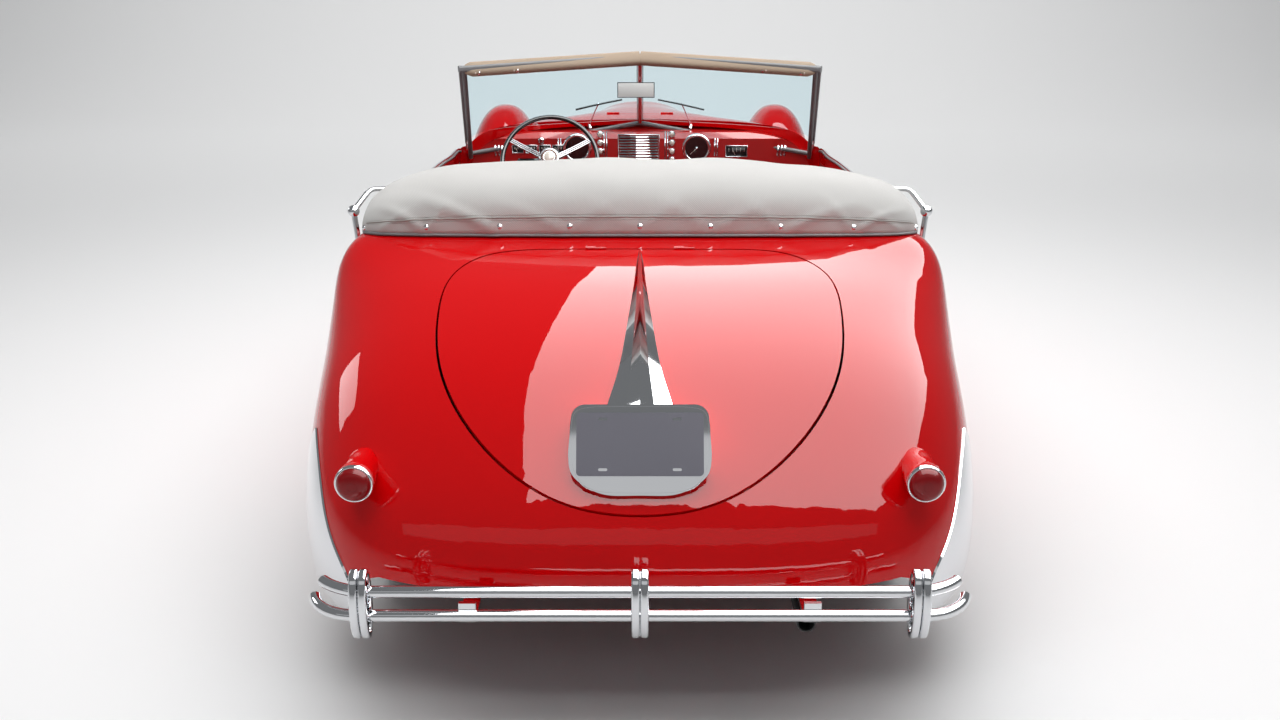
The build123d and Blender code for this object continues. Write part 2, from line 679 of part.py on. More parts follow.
def pane_plane(side):
    """The plane of one half of the V screen: X runs outwards from the centre, Y up the glass."""
    foot = SCREEN_FOOT
    out = (Vector(side * SCREEN_SIDE_FOOT.X, SCREEN_SIDE_FOOT.Y, SCREEN_SIDE_FOOT.Z) - foot).normalized()
    normal = out.cross((SCREEN_TOP - foot).normalized()).normalized()
    return Plane(origin=foot, x_dir=Vector(side, 0, 0) - normal * (normal.X * side), z_dir=normal)


def side_top(side):
    """Outer top corner of one half, found where its plane meets the corner's place across and up."""
    plane = pane_plane(side)
    n, o = plane.z_dir, plane.origin
    x, z = side * SCREEN_SIDE_TOP_X, SCREEN_SIDE_TOP_Z
    return Vector(x, o.Y - (n.X * (x - o.X) + n.Z * (z - o.Z)) / n.Y, z)


def pane_outline(side, inset):
    """Corners of one half in its own plane, inset from the frame's outer edge."""
    plane = pane_plane(side)
    corners = [
        SCREEN_FOOT, Vector(side * SCREEN_SIDE_FOOT.X, SCREEN_SIDE_FOOT.Y, SCREEN_SIDE_FOOT.Z),
        side_top(side), SCREEN_TOP,
    ]
    (x0, y0), (x1, y1), (x2, y2), (x3, y3) = [
        (p.X, p.Y) for p in (plane.to_local_coords(corner) for corner in corners)]
    centre = inset * 0.4
    low = [(x0 + centre, y0 + inset), (x1 - inset, y1 + inset)]
    return low + [(x2 - inset, y2 - inset), (x3 + centre, y3 - inset)]


def pane_prism(side, inset, thickness):
    plane = pane_plane(side).offset(-thickness / 2)
    with BuildPart() as pane:
        with BuildSketch(plane):
            with BuildLine():
                Polyline(*pane_outline(side, inset), close=True)
            make_face()
        extrude(amount=thickness)
    return pane.part


def make_windscreen(body_cut):
    """V windscreen: frame seated on the cowl, header rail that the hood latches to, and two panes."""
    with BuildPart() as frame:
        for side, _ in SIDES:
            add(pane_prism(side, 0, SCREEN_FRAME_T))
        for side, _ in SIDES:
            add(pane_prism(side, SCREEN_POST, 4 * SCREEN_FRAME_T), mode=Mode.SUBTRACT)
        for side, _ in SIDES:
            top = side_top(side)
            along = (top - SCREEN_TOP).normalized()
            with BuildSketch(Plane(origin=SCREEN_TOP, x_dir=along.cross(Vector(0, 0, 1)), z_dir=along)):
                with Locations((0, HEADER_HEIGHT / 2 - 10)):
                    RectangleRounded(HEADER_T, HEADER_HEIGHT, 9)
            extrude(amount=(top - SCREEN_TOP).length)
        add(body_cut, mode=Mode.SUBTRACT)
    keep("windscreen_frame", largest(frame.part))
    panes = []
    for side, _ in SIDES:
        with BuildPart() as glass:
            add(pane_prism(side, SCREEN_POST + CLEARANCE, GLASS_T))
            add(body_cut, mode=Mode.SUBTRACT)
        panes.append(largest(glass.part))
    keep("windscreen_glass", Compound(children=panes))


MIRROR_SIZE = (162.0, 14.0, 64.0)
MIRROR_STEM_R = 6.0
MIRROR_PLACE = Vector(-18, 556, 1311)


def make_mirror():
    """Interior mirror on a short stem from the windscreen's centre bar."""
    height = MIRROR_PLACE.Z + 2 * MIRROR_STEM_R
    lean = (SCREEN_TOP.Y - SCREEN_FOOT.Y) / (SCREEN_TOP.Z - SCREEN_FOOT.Z)
    bar_y = SCREEN_FOOT.Y + (height - SCREEN_FOOT.Z) * lean - SCREEN_FRAME_T * 0.556 - CLEARANCE
    with BuildPart() as mirror_part:
        with BuildSketch(Plane.XZ.offset(-MIRROR_PLACE.Y - MIRROR_SIZE[1])):
            with Locations((MIRROR_PLACE.X, MIRROR_PLACE.Z)):
                RectangleRounded(MIRROR_SIZE[0], MIRROR_SIZE[2], 12)
        extrude(amount=MIRROR_SIZE[1])
        with BuildSketch(Plane(origin=(0, MIRROR_PLACE.Y + 4, MIRROR_PLACE.Z), z_dir=(0, 1, 0))):
            Circle(MIRROR_STEM_R)
        extrude(amount=bar_y - MIRROR_PLACE.Y - 4)
    keep("mirror", mirror_part.part)


# ---------------------------------------------------------------- cabin
DASH_Y = 706.0
DASH_T = 18.0
DASH_LOW_Z = 885.0
DASH_TOP_Z = 1104.0
DIAL_Z = 1034.0
DIAL_RADIUS = 58.0
DIAL_X = (-291.0, 262.0)
WHEEL_CENTRE = Vector(-389, 300, 1030)
WHEEL_RADIUS = 216.0
WHEEL_GRIP = 10.0
COLUMN_RAKE = 30.0
COLUMN_R = 21.0
HUB_R = 42.0


def column_plane(along):
    """A plane square to the steering column; along is measured forwards from the wheel's centre."""
    out = Vector(0, cos(radians(COLUMN_RAKE)), -sin(radians(COLUMN_RAKE)))
    return Plane(origin=WHEEL_CENTRE + out * along, x_dir=(1, 0, 0), z_dir=out)


def make_dashboard(room):
    """Pressed dash: a face with dial holes and a shelf that runs forward under the cowl."""
    with BuildPart() as dash:
        with BuildSketch(Plane.YZ.offset(-COCKPIT_HALF)):
            with BuildLine():
                Polyline(
                    (DASH_Y + 30, DASH_LOW_Z), (DASH_Y, DASH_LOW_Z + 16), (DASH_Y, DASH_TOP_Z - 26),
                    (DASH_Y + 22, DASH_TOP_Z), (DASH_Y + 170, DASH_TOP_Z + 14),
                    (DASH_Y + 170, DASH_TOP_Z + 2), (DASH_Y + DASH_T + 14, DASH_TOP_Z - DASH_T),
                    (DASH_Y + DASH_T, DASH_TOP_Z - 40), (DASH_Y + DASH_T, DASH_LOW_Z + 24),
                    (DASH_Y + 30 + DASH_T, DASH_LOW_Z), close=True)
            make_face()
        extrude(amount=2 * COCKPIT_HALF)
        with Locations([Location((x, DASH_Y, DIAL_Z), (90, 0, 0)) for x in DIAL_X]):
            Cylinder(DIAL_RADIUS, 60, mode=Mode.SUBTRACT)
        add(room, mode=Mode.INTERSECT)
    keep("dashboard", largest(dash.part))
    with BuildPart() as dials:
        with Locations([Location((x, DASH_Y + 4, DIAL_Z), (90, 0, 0)) for x in DIAL_X]):
            Cylinder(DIAL_RADIUS - CLEARANCE, 20)
    keep("dash_dials", dials.part)


def make_steering():
    """Steering wheel with its hub and three spokes, and the column that carries it."""
    with BuildPart() as wheel:
        across = column_plane(0)
        with BuildSketch(Plane(origin=WHEEL_CENTRE, x_dir=across.x_dir, z_dir=across.y_dir)):
            with Locations((WHEEL_RADIUS - WHEEL_GRIP, 0)):
                Circle(WHEEL_GRIP)
        revolve(axis=Axis(WHEEL_CENTRE, across.z_dir))
        with BuildSketch(column_plane(-12)):
            Circle(HUB_R)
        extrude(amount=62)
        with Locations(column_plane(7)):
            with PolarLocations(WHEEL_RADIUS / 2, 3, start_angle=90):
                Box(WHEEL_RADIUS - WHEEL_GRIP, 16, 7)
    keep("steering_wheel", wheel.part)
    with BuildPart() as column:
        with BuildSketch(column_plane(50 + CLEARANCE)):
            Circle(COLUMN_R)
        extrude(amount=COLUMN_LENGTH)
        top = DASH_LOW_Z
        x, y = WHEEL_CENTRE.X, DASH_Y + 36
        with Locations((x, y, (top + COLUMN_HANGER_LOW_Z) / 2)):
            Box(30, 20, top - COLUMN_HANGER_LOW_Z)
    keep("steering_column", column.part)


COLUMN_LENGTH = 740.0
COLUMN_HANGER_LOW_Z = 764.0  # where the strap from the dash meets the column
SEAT_HALF = COCKPIT_HALF - 77.0  # the bench stops this far from the doors' inner faces
SEAT_BASE_Z = 420.0
SEAT_TOP_Z = 612.0
FRONT_SEAT_Y = (-470.0, 110.0)
FRONT_BACK_TOP_Z = 985.0
REAR_SEAT_HALF = 560.0
REAR_SEAT_Y = (-1240.0, -790.0)
REAR_BACK_TOP_Z = 1000.0


def make_seats():
    """Front bench on its runners' frame and the small rear bench between the arches."""
    rear, front = FRONT_SEAT_Y
    floor = FLOOR_Z + FLOOR_T
    with BuildPart() as base:
        with Locations((0, (rear + front) / 2 + 20, (SEAT_BASE_Z + floor) / 2)):
            Box(2 * SEAT_HALF - 160, front - rear - 120, SEAT_BASE_Z - floor)
    keep("front_seat_base", base.part)
    with BuildPart() as bench:
        with BuildSketch(Plane.YZ.offset(-SEAT_HALF)):
            with BuildLine():
                FilletPolyline(
                    (rear, SEAT_BASE_Z), (front, SEAT_BASE_Z), (front, SEAT_TOP_Z),
                    (rear + 160, SEAT_TOP_Z - 30), (rear + 20, FRONT_BACK_TOP_Z),
                    (rear - 110, FRONT_BACK_TOP_Z), (rear - 20, SEAT_BASE_Z), radius=20, close=False)
                Line((rear - 20, SEAT_BASE_Z), (rear, SEAT_BASE_Z))
            make_face()
        extrude(amount=2 * SEAT_HALF)
    keep("front_bench", bench.part)
    rear, front = REAR_SEAT_Y
    shelf = REAR_RAIL_TOP + FLOOR_T
    with BuildPart() as small_bench:
        with BuildSketch(Plane.YZ.offset(-REAR_SEAT_HALF)):
            with BuildLine():
                FilletPolyline(
                    (rear, shelf), (front, shelf), (front, shelf + 150), (rear + 90, shelf + 130),
                    (rear, REAR_BACK_TOP_Z), (rear - 90, REAR_BACK_TOP_Z), (rear - 40, shelf), radius=18)
                Line((rear - 40, shelf), (rear, shelf))
            make_face()
        extrude(amount=2 * REAR_SEAT_HALF)
    keep("rear_bench", small_bench.part)


# ---------------------------------------------------------------- folded hood
STACK_TOP_Z = 1214.0
WELL_FLOOR_Z = 960.0
STACK_HALF = 862.0
STACK_REAR_Y = -1424.0
STACK_FRONT_Y = -930.0
IRON_KNUCKLE = Vector(906, -1196, 1088)
IRON_R = 9.0
IRON_ENDS = [(893, -1200, 960), (876, -1124, 1132)]  # its foot in the body, its arm into the hood


def make_hood_stack(body_cut):
    """The folded hood under its cover: one soft crescent across the back of the cabin."""
    low, top, rear, front, half = WELL_FLOOR_Z, STACK_TOP_Z, STACK_REAR_Y, STACK_FRONT_Y, STACK_HALF
    with BuildPart() as stack:
        with BuildSketch(Plane.YZ.offset(-1.2 * half)):
            with BuildLine():
                Polyline((rear, low), (rear, top - 139), (rear + 22, top - 86), (rear + 80, top - 42),
                         (rear + 170, top - 11), (rear + 290, top), (rear + 400, top - 18),
                         (front - 20, top - 64), (front, top - 124), (front, low), close=True)
            make_face()
        extrude(amount=2.4 * half)
        with BuildSketch(Plane.XY.offset(low - 50)):
            with BuildLine():
                right = [(half * 0.35, rear - 3), (half * 0.6, rear + 12), (half * 0.8, rear + 50),
                         (half * 0.93, rear + 120), (half, rear + 220), (half, front - 60),
                         (half * 0.97, front + 10)]
                left = [(-x, y) for x, y in reversed(right)]
                Polyline(*left, *right, close=True)
            make_face()
        extrude(amount=top + 100 - low, mode=Mode.INTERSECT)
        add(body_cut, mode=Mode.SUBTRACT)
    keep("hood_stack", largest(stack.part))


def make_hood_irons(body_cut):
    """The outer ends of the hood's folded side irons: a foot, a knuckle and an arm on each side."""
    irons = []
    for side, _ in SIDES:
        knuckle = Vector(side * IRON_KNUCKLE.X, IRON_KNUCKLE.Y, IRON_KNUCKLE.Z)
        with BuildPart() as iron:
            with Locations(knuckle):
                Sphere(IRON_R * 2.1)
            for x, y, z in IRON_ENDS:
                reach = Vector(side * x, y, z) - knuckle
                with BuildSketch(Plane(origin=knuckle, z_dir=reach.normalized())):
                    Circle(IRON_R)
                extrude(amount=reach.length)
            add(body_cut, mode=Mode.SUBTRACT)
        irons.append(largest(iron.part))
    keep("hood_irons", Compound(children=irons))


# ---------------------------------------------------------------- tail fittings
PLATE_FACE = Plane(origin=(0, -2366, 618), x_dir=(1, 0, 0), z_dir=(0, -cos(radians(25)), sin(radians(25))))
BOX_HEIGHT = 218.0
BOX_HALF = 172.0
BOX_CORNER = 34.0
PLATE_SIZE = (305.0, 152.0)
PLATE_T = 3.0
PLATE_RISE = 122.0  # middle of the plate above the box's lower edge
# The spear along the lid: angle of the plane about the rear axle, half-width, height of its ridge.
SPEAR = [
    (102, 3, 4), (107, 8, 12), (115, 13, 19), (126, 21, 30), (133, 29, 38), (141, 40, 50), (148, 55, 64),
    (152, 70, 76), (157, 86, 92),
]
TAIL_LAMP = Vector(692, -2312, 626)
TAIL_LAMP_R = 46.0
TAIL_LAMP_LENGTH = 170.0
TAIL_LENS_T = 26.0
GUARD_T = 4.0
GUARD_OUTLINE = [
    (-1960, 640), (-2115, 560), (-2235, 440), (-2290, 330), (-2270, 275), (-2010, 275), (-1930, 300),
    (-1900, 420), (-1915, 560),
]


def make_boot_fittings(body_cut):
    """Number-plate housing, bare plate and tapering spear, all carried by the boot lid."""
    with BuildPart() as housing:
        with BuildSketch(PLATE_FACE):
            with BuildLine():
                Spline((0, 0), (BOX_HALF * 0.62, 9), (BOX_HALF * 0.93, 46), (BOX_HALF, 100),
                       tangents=((1, 0), (0.05, 1)))
                Line((BOX_HALF, 100), (BOX_HALF - 6, BOX_HEIGHT - BOX_CORNER))
                TangentArc((BOX_HALF - 6, BOX_HEIGHT - BOX_CORNER), (BOX_HALF - 6 - BOX_CORNER, BOX_HEIGHT),
                           tangent=(0, 1))
                Line((BOX_HALF - 6 - BOX_CORNER, BOX_HEIGHT), (0, BOX_HEIGHT))
                mirror(about=Plane.YZ)
            make_face()
        extrude(amount=-260)
        add(body_cut, mode=Mode.SUBTRACT)
    keep("plate_housing", largest(housing.part))
    with BuildPart() as plate:
        with BuildSketch(PLATE_FACE.offset(CLEARANCE)):
            with Locations((0, PLATE_RISE)):
                RectangleRounded(PLATE_SIZE[0], PLATE_SIZE[1], 10)
                with GridLocations(178, 121, 2, 2):
                    SlotOverall(22, 7, mode=Mode.SUBTRACT)
        extrude(amount=PLATE_T)
    keep("number_plate", plate.part)
    sections = []
    for angle, half, ridge in SPEAR:
        radius = smooth_table(TAIL_RADIUS, angle)
        with BuildSketch(fan_plane(REAR_AXLE_Y, angle)) as cut:
            with BuildLine():
                edge, flank = radius + 1 + ridge * 0.12, radius + 1 + ridge * 0.55
                Polyline((-half, radius - 12), (half, radius - 12), (half, edge), (half * 0.42, flank),
                         (0, radius + 1 + ridge), (-half * 0.42, flank), (-half, edge), close=True)
            make_face()
        sections.append(cut.sketch.faces()[0])
    with BuildPart() as spear:
        loft(sections)
        add(body_cut, mode=Mode.SUBTRACT)
        with BuildSketch(PLATE_FACE):
            with Locations((0, BOX_HEIGHT / 2)):
                Rectangle(3 * BOX_HALF, BOX_HEIGHT + 2 * CLEARANCE)
        extrude(amount=2 * BOX_HEIGHT, both=True, mode=Mode.SUBTRACT)
    upper = [part for part in spear.solids() if part.center().Y > PLATE_FACE.origin.Y + BOX_HEIGHT / 2]
    keep("boot_spear", max(upper, key=lambda part: part.volume))


def make_tail_lamps(body_cut):
    """Teardrop lamp housings on the tail, with their round lenses."""
    housings, lenses = [], []
    for side, _ in SIDES:
        centre = (side * TAIL_LAMP.X, TAIL_LAMP.Y, TAIL_LAMP.Z)
        plane = Plane(origin=centre, x_dir=(1, 0, 0), z_dir=(0, 0, 1))
        with BuildPart() as housing:
            with BuildSketch(plane):
                with BuildLine():
                    Line((0, 0), (TAIL_LAMP_R, 0))
                    Spline((TAIL_LAMP_R, 0), (TAIL_LAMP_R * 0.94, TAIL_LAMP_LENGTH * 0.4),
                           (0, TAIL_LAMP_LENGTH),
                           tangents=((0.2, 1), (-1, 0)))
                    Line((0, TAIL_LAMP_LENGTH), (0, 0))
                make_face()
            revolve(axis=Axis(centre, (0, 1, 0)))
            add(body_cut, mode=Mode.SUBTRACT)
        housings.append(largest(housing.part))
        with BuildPart() as lens:
            with BuildSketch(plane):
                with BuildLine():
                    Polyline((0, -TAIL_LENS_T), (0, -CLEARANCE), (TAIL_LAMP_R - 4, -CLEARANCE),
                             (TAIL_LAMP_R - 4, -8))
                    Spline((TAIL_LAMP_R - 4, -8), (0, -TAIL_LENS_T), tangents=((-0.3, -1), (-1, 0)))
                make_face()
            revolve(axis=Axis(centre, (0, 1, 0)))
        lenses.append(lens.part)
    keep("tail_lamp_housings", Compound(children=housings))
    keep("tail_lamp_lenses", Compound(children=lenses))


def make_wing_guards(body_cut):
    """Bright stone guards that lie on the flanks behind the rear wheels."""
    with BuildPart() as sheet:
        add(body_solid(GUARD_T))
        with BuildSketch(Plane.YZ.offset(-1100)):
            with BuildLine():
                Spline(*GUARD_OUTLINE, GUARD_OUTLINE[0], periodic=False)
            make_face()
        extrude(amount=2200, mode=Mode.INTERSECT)
        add(body_cut, mode=Mode.SUBTRACT)
        add(box_between((-700, -2500, 0), (700, -1500, 900)), mode=Mode.SUBTRACT)
    keep("wing_guards", Compound(children=sheet.part.solids().sort_by(SortBy.VOLUME)[-2:]))


# ---------------------------------------------------------------- bumpers
def bumper_path(end, z, y, hook):
    """Centre line of one bumper tube: straight across, with a hook round the corner at each end."""
    shoulder = end - BUMPER_HOOK_WIDTH
    with BuildLine() as path:
        Line((-shoulder, y, z), (shoulder, y, z))
        for way in (1, -1):
            TangentArc((way * shoulder, y, z), (way * end, y - hook, z), tangent=(way, 0, 0))
    return path.line


def overrider(x, y):
    """Two rounded ribs side by side that ring both tubes, with the post that holds them."""
    low, high = BUMPER_Z - OVERRIDER_HEIGHT / 2 + RIB_T / 2, BUMPER_Z + OVERRIDER_HEIGHT / 2 - RIB_T / 2
    with BuildPart() as ribs:
        for way in (-1, 1):
            with BuildPart() as rib:
                with BuildSketch(Plane.YZ.offset(x + way * RIB_PITCH / 2 - RIB_WIDTH / 2)):
                    with Locations((y, BUMPER_Z)):
                        Ellipse(OVERRIDER_DEPTH, OVERRIDER_HEIGHT / 2)
                        Ellipse(OVERRIDER_DEPTH - RIB_T, OVERRIDER_HEIGHT / 2 - RIB_T, mode=Mode.SUBTRACT)
                extrude(amount=RIB_WIDTH)
                fillet(rib.edges(), RIB_ROUND)
            add(rib.part)
        add(box_between((x - POST_HALF, y - POST_HALF, low), (x + POST_HALF, y + POST_HALF, high)))
    return ribs.part


def make_bumper(name, sign, hook, overriders):
    """Two tubes, the overriders that clasp them, and the bars that carry them from the rails."""
    rail_end = RAIL_REAR_Y if sign < 0 else RAIL_FRONT_Y
    rail_low = (REAR_RAIL_TOP if sign < 0 else FRONT_RAIL_TOP) - RAIL_HEIGHT
    y = sign * (LENGTH / 2 - OVERRIDER_DEPTH)
    with BuildPart() as bumper:
        for k, end in enumerate(BUMPER_ENDS):
            path = bumper_path(end, BUMPER_Z + (k - 0.5) * BUMPER_PITCH, y, sign * hook * BUMPER_HOOKS[k])
            with BuildSketch(Plane(origin=path @ 0, z_dir=path % 0)):
                Circle(BUMPER_TUBE_R)
            sweep(path=path)
        for x in overriders:
            add(overrider(x, y))
        for side, _ in SIDES:
            low = min(rail_low, VALANCE_Z) - 2 * BRACKET_T
            with BuildSketch(Plane.YZ.offset(side * RAIL_X - BRACKET_WIDTH / 2)):
                with BuildLine():
                    Polyline(
                        (y, BUMPER_Z), (y, low), (rail_end - sign * 70, low),
                        (rail_end - sign * 70, rail_low - CLEARANCE),
                        (rail_end - sign * 20, rail_low - CLEARANCE),
                        (rail_end - sign * 20, low + BRACKET_T), (y - sign * BRACKET_T, low + BRACKET_T),
                        (y - sign * BRACKET_T, BUMPER_Z), close=True)
                make_face()
            extrude(amount=BRACKET_WIDTH)
    keep(name, bumper.part)


# ---------------------------------------------------------------- wheels and axles
def make_tyre(name, side, axle_y):
    """One tyre, turned from its section."""
    centre = (side * HALF_TRACK, axle_y, TYRE_RADIUS)
    half = TYRE_WIDTH / 2
    bead, lip = RIM_RADIUS + CLEARANCE, RIM_RADIUS + RIM_FLANGE + CLEARANCE
    seat, edge = RIM_WIDTH / 2 - 12 - CLEARANCE, RIM_WIDTH / 2 + CLEARANCE
    with BuildPart() as tyre:
        with BuildSketch(Plane(origin=centre, x_dir=(0, 0, 1), z_dir=(0, 1, 0))):
            with BuildLine():
                tread, flat = TYRE_RADIUS - TREAD_DROP, half - TREAD_DROP
                Polyline((lip, -edge), (lip, -seat - 6), (bead, -seat), (bead, seat), (lip, seat + 6),
                         (lip, edge))
                Spline((lip, edge), (bead + 60, half), (tread, flat), tangents=((0.6, 1), (1, -0.8)))
                ThreePointArc((tread, flat), (TYRE_RADIUS, 0), (tread, -flat))
                Spline((tread, -flat), (bead + 60, -half), (lip, -edge),
                       tangents=((-1, -0.8), (-0.6, 1)))
            make_face()
        revolve(axis=Axis(centre, (1, 0, 0)))
    keep(name, tyre.part)


def make_wheel(name, side, axle_y):
    """One pressed wheel: rim, dished disc, hub bored for its spindle, and domed cap."""
    plane = Plane(origin=(0, axle_y, TYRE_RADIUS), x_dir=(0, 0, 1), z_dir=(0, -side, 0))
    inner, outer = HALF_TRACK - RIM_WIDTH / 2, HALF_TRACK + RIM_WIDTH / 2
    disc_x, wall = HALF_TRACK + 6, 8.0
    flange, deep = RIM_RADIUS + RIM_FLANGE, RIM_RADIUS - wall
    with BuildPart() as wheel:
        with BuildSketch(plane):
            with BuildLine():
                Polyline(
                    (SPINDLE_R + CLEARANCE, -(BACKPLATE_X + 16)), (BACKPLATE_R * 0.4, -(BACKPLATE_X + 16)),
                    (BACKPLATE_R * 0.5, -disc_x), (RIM_RADIUS - 34, -(disc_x - 14)),
                    (RIM_RADIUS - 16, -disc_x), (deep, -(inner + 20)), (deep, -inner), (flange, -inner),
                    (flange, -(inner + 6)), (RIM_RADIUS, -(inner + 12)), (RIM_RADIUS, -(outer - 12)),
                    (flange, -(outer - 6)), (flange, -outer), (deep, -outer),
                    (RIM_RADIUS - 20, -(disc_x + 16)), (RIM_RADIUS - 34, -(disc_x - 6)),
                    (HUB_CAP_RADIUS, -(disc_x + wall)))
                Spline((HUB_CAP_RADIUS, -(disc_x + wall)), (HUB_CAP_RADIUS - 8, -(outer - 12)),
                       (0, -(outer + 16)), tangents=((0.2, -1), (-1, 0)))
                Polyline((0, -(outer + 16)), (0, -(outer - 10)), (SPINDLE_R + CLEARANCE, -(outer - 10)),
                         (SPINDLE_R + CLEARANCE, -(BACKPLATE_X + 16)))
            make_face()
        revolve(axis=Axis((0, axle_y, TYRE_RADIUS), (1, 0, 0)))
    keep(name, wheel.part)


def spindle_and_plate(side, axle_y):
    """Brake backing plate and the spindle that a wheel turns on."""
    with BuildPart() as stub:
        add(cross_cylinder(side * (BACKPLATE_X + 4), axle_y, TYRE_RADIUS, BACKPLATE_R, 4))
        end = HALF_TRACK + RIM_WIDTH / 2 - 12
        middle, half_length = (BACKPLATE_X + end) / 2, (end - BACKPLATE_X) / 2
        add(cross_cylinder(side * middle, axle_y, TYRE_RADIUS, SPINDLE_R, half_length))
    return stub.part


def make_front_axle():
    """Beam axle under its leaf springs, and the two knuckles that swing on its kingpins."""
    boss_r, boss_half = 24.0, 46.0
    with BuildPart() as axle:
        with BuildSketch(Plane.YZ.offset(-KINGPIN_X)):
            with Locations((FRONT_AXLE_Y, AXLE_BEAM_Z)):
                RectangleRounded(52, 56, 8)
        extrude(amount=2 * KINGPIN_X)
        with Locations([(side * KINGPIN_X, FRONT_AXLE_Y, TYRE_RADIUS - 20) for side, _ in SIDES]):
            Cylinder(boss_r, 2 * boss_half)
            Cylinder(KINGPIN_R + CLEARANCE, 3 * boss_half, mode=Mode.SUBTRACT)
        for side, _ in SIDES:
            add(box_between(
                (side * RAIL_X - SPRING_WIDTH / 2, FRONT_AXLE_Y - 45, AXLE_BEAM_Z + 26),
                (side * RAIL_X + SPRING_WIDTH / 2, FRONT_AXLE_Y + 45, FRONT_RAIL_TOP - RAIL_HEIGHT - 50)))
            add(leaf_spring(side, FRONT_AXLE_Y, FRONT_RAIL_TOP - RAIL_HEIGHT, FRONT_SPRING_HALF))
    keep("front_axle", axle.part)
    top, low = TYRE_RADIUS - 20 + boss_half, TYRE_RADIUS - 20 - boss_half
    for side, name in SIDES:
        with BuildPart() as knuckle:
            near, far = side * (KINGPIN_X - boss_r), side * (BACKPLATE_X + 4)
            for z in (top + CLEARANCE, low - CLEARANCE - 16):
                add(box_between((min(near, far), FRONT_AXLE_Y - boss_r, z),
                                (max(near, far), FRONT_AXLE_Y + boss_r, z + 16)))
            with Locations((side * KINGPIN_X, FRONT_AXLE_Y, (top + low) / 2)):
                Cylinder(KINGPIN_R, top - low + 30)
            with Locations((side * (BACKPLATE_X - 4), FRONT_AXLE_Y, (top + low) / 2)):
                Box(14, 2 * boss_r, top - low + 32)
            add(spindle_and_plate(side, FRONT_AXLE_Y))
        keep(f"knuckle_{name}", knuckle.part)


def leaf_spring(side, axle_y, rail_low, half_length):
    """One leaf spring hung from the underside of a rail by a bracket at each end."""
    sag = 50.0
    eye_z = rail_low - CLEARANCE
    curve = [(axle_y + share * half_length, eye_z - sag + (sag - SPRING_END) * share**2)
             for share in SPRING_SHARES]
    under = [(y, z - SPRING_THICK) for y, z in reversed(curve)]
    with BuildPart() as spring:
        with BuildSketch(Plane.YZ.offset(side * RAIL_X - SPRING_WIDTH / 2)):
            with BuildLine():
                Polyline(*curve, *under, close=True)
            make_face()
        extrude(amount=SPRING_WIDTH)
        for end in (-1, 1):
            y = axle_y + end * (half_length - 20)
            add(box_between((side * RAIL_X - SPRING_WIDTH / 2, y - 20, eye_z - 30),
                            (side * RAIL_X + SPRING_WIDTH / 2, y + 20, eye_z)))
    return spring.part


def make_rear_axle():
    """Live axle: differential, tubes, backing plates with fixed spindles, and its leaf springs."""
    rail_low = REAR_RAIL_TOP - RAIL_HEIGHT
    with BuildPart() as axle:
        add(cross_cylinder(0, REAR_AXLE_Y, TYRE_RADIUS, DIFFERENTIAL_R, DIFFERENTIAL_HALF))
        add(cross_cylinder(0, REAR_AXLE_Y, TYRE_RADIUS, DIFFERENTIAL_R * 0.7, DIFFERENTIAL_HALF * 1.7))
        add(cross_cylinder(0, REAR_AXLE_Y, TYRE_RADIUS, AXLE_TUBE_R, BACKPLATE_X))
        for side, _ in SIDES:
            add(spindle_and_plate(side, REAR_AXLE_Y))
            add(leaf_spring(side, REAR_AXLE_Y, rail_low, REAR_SPRING_HALF))
            add(box_between(
                (side * RAIL_X - SPRING_WIDTH / 2, REAR_AXLE_Y - 45, TYRE_RADIUS),
                (side * RAIL_X + SPRING_WIDTH / 2, REAR_AXLE_Y + 45, rail_low - 60)))
    keep("rear_axle", axle.part)


# ---------------------------------------------------------------- chassis, floor, engine, exhaust
# Cross members: place along the car, top, depth.
CROSS_MEMBERS = (
    (1080, FLOOR_Z, 40), (200, FLOOR_Z, 40), (-2260, REAR_RAIL_TOP, 80),
)
ENGINE_LOW = (-165.0, 1130.0, 400.0)
ENGINE_HIGH = (165.0, 1990.0, 955.0)
EXHAUST_R = 22.0
SILENCER_R = 58.0
TAILPIPE_X = 395.0
TAILPIPE_Z = 330.0
ARCH_LINER_R = 431.0
ARCH_LINER_INNER_X = 600.0
LINER_T = 12.0
LINER_HALF = 192.0  # half the width of the drum


def rail_band(low, high):
    """Outline between two heights measured from the rails' top line."""
    top = [(y, z + high) for y, z in RAIL_TOP_LINE]
    bottom = [(y, z + low) for y, z in reversed(RAIL_TOP_LINE)]
    return [*top, *bottom]


def make_chassis():
    """Two kicked-up rails with cross members."""
    with BuildPart() as chassis:
        for side, _ in SIDES:
            with BuildSketch(Plane.YZ.offset(side * RAIL_X - RAIL_WIDTH / 2)):
                with BuildLine():
                    Polyline(*rail_band(-RAIL_HEIGHT, 0), close=True)
                make_face()
            extrude(amount=RAIL_WIDTH)
        for y, top, depth in CROSS_MEMBERS:
            add(box_between((-RAIL_X, y - 30, top - depth), (RAIL_X, y + 30, top)))
        for side, _ in SIDES:
            near, far = side * (ENGINE_HIGH[0] + CLEARANCE), side * RAIL_X
            low, top = FRONT_RAIL_TOP - 90, FRONT_RAIL_TOP - 10
            add(box_between((min(near, far), 1500, low), (max(near, far), 1570, top)))
    keep("chassis", chassis.part)


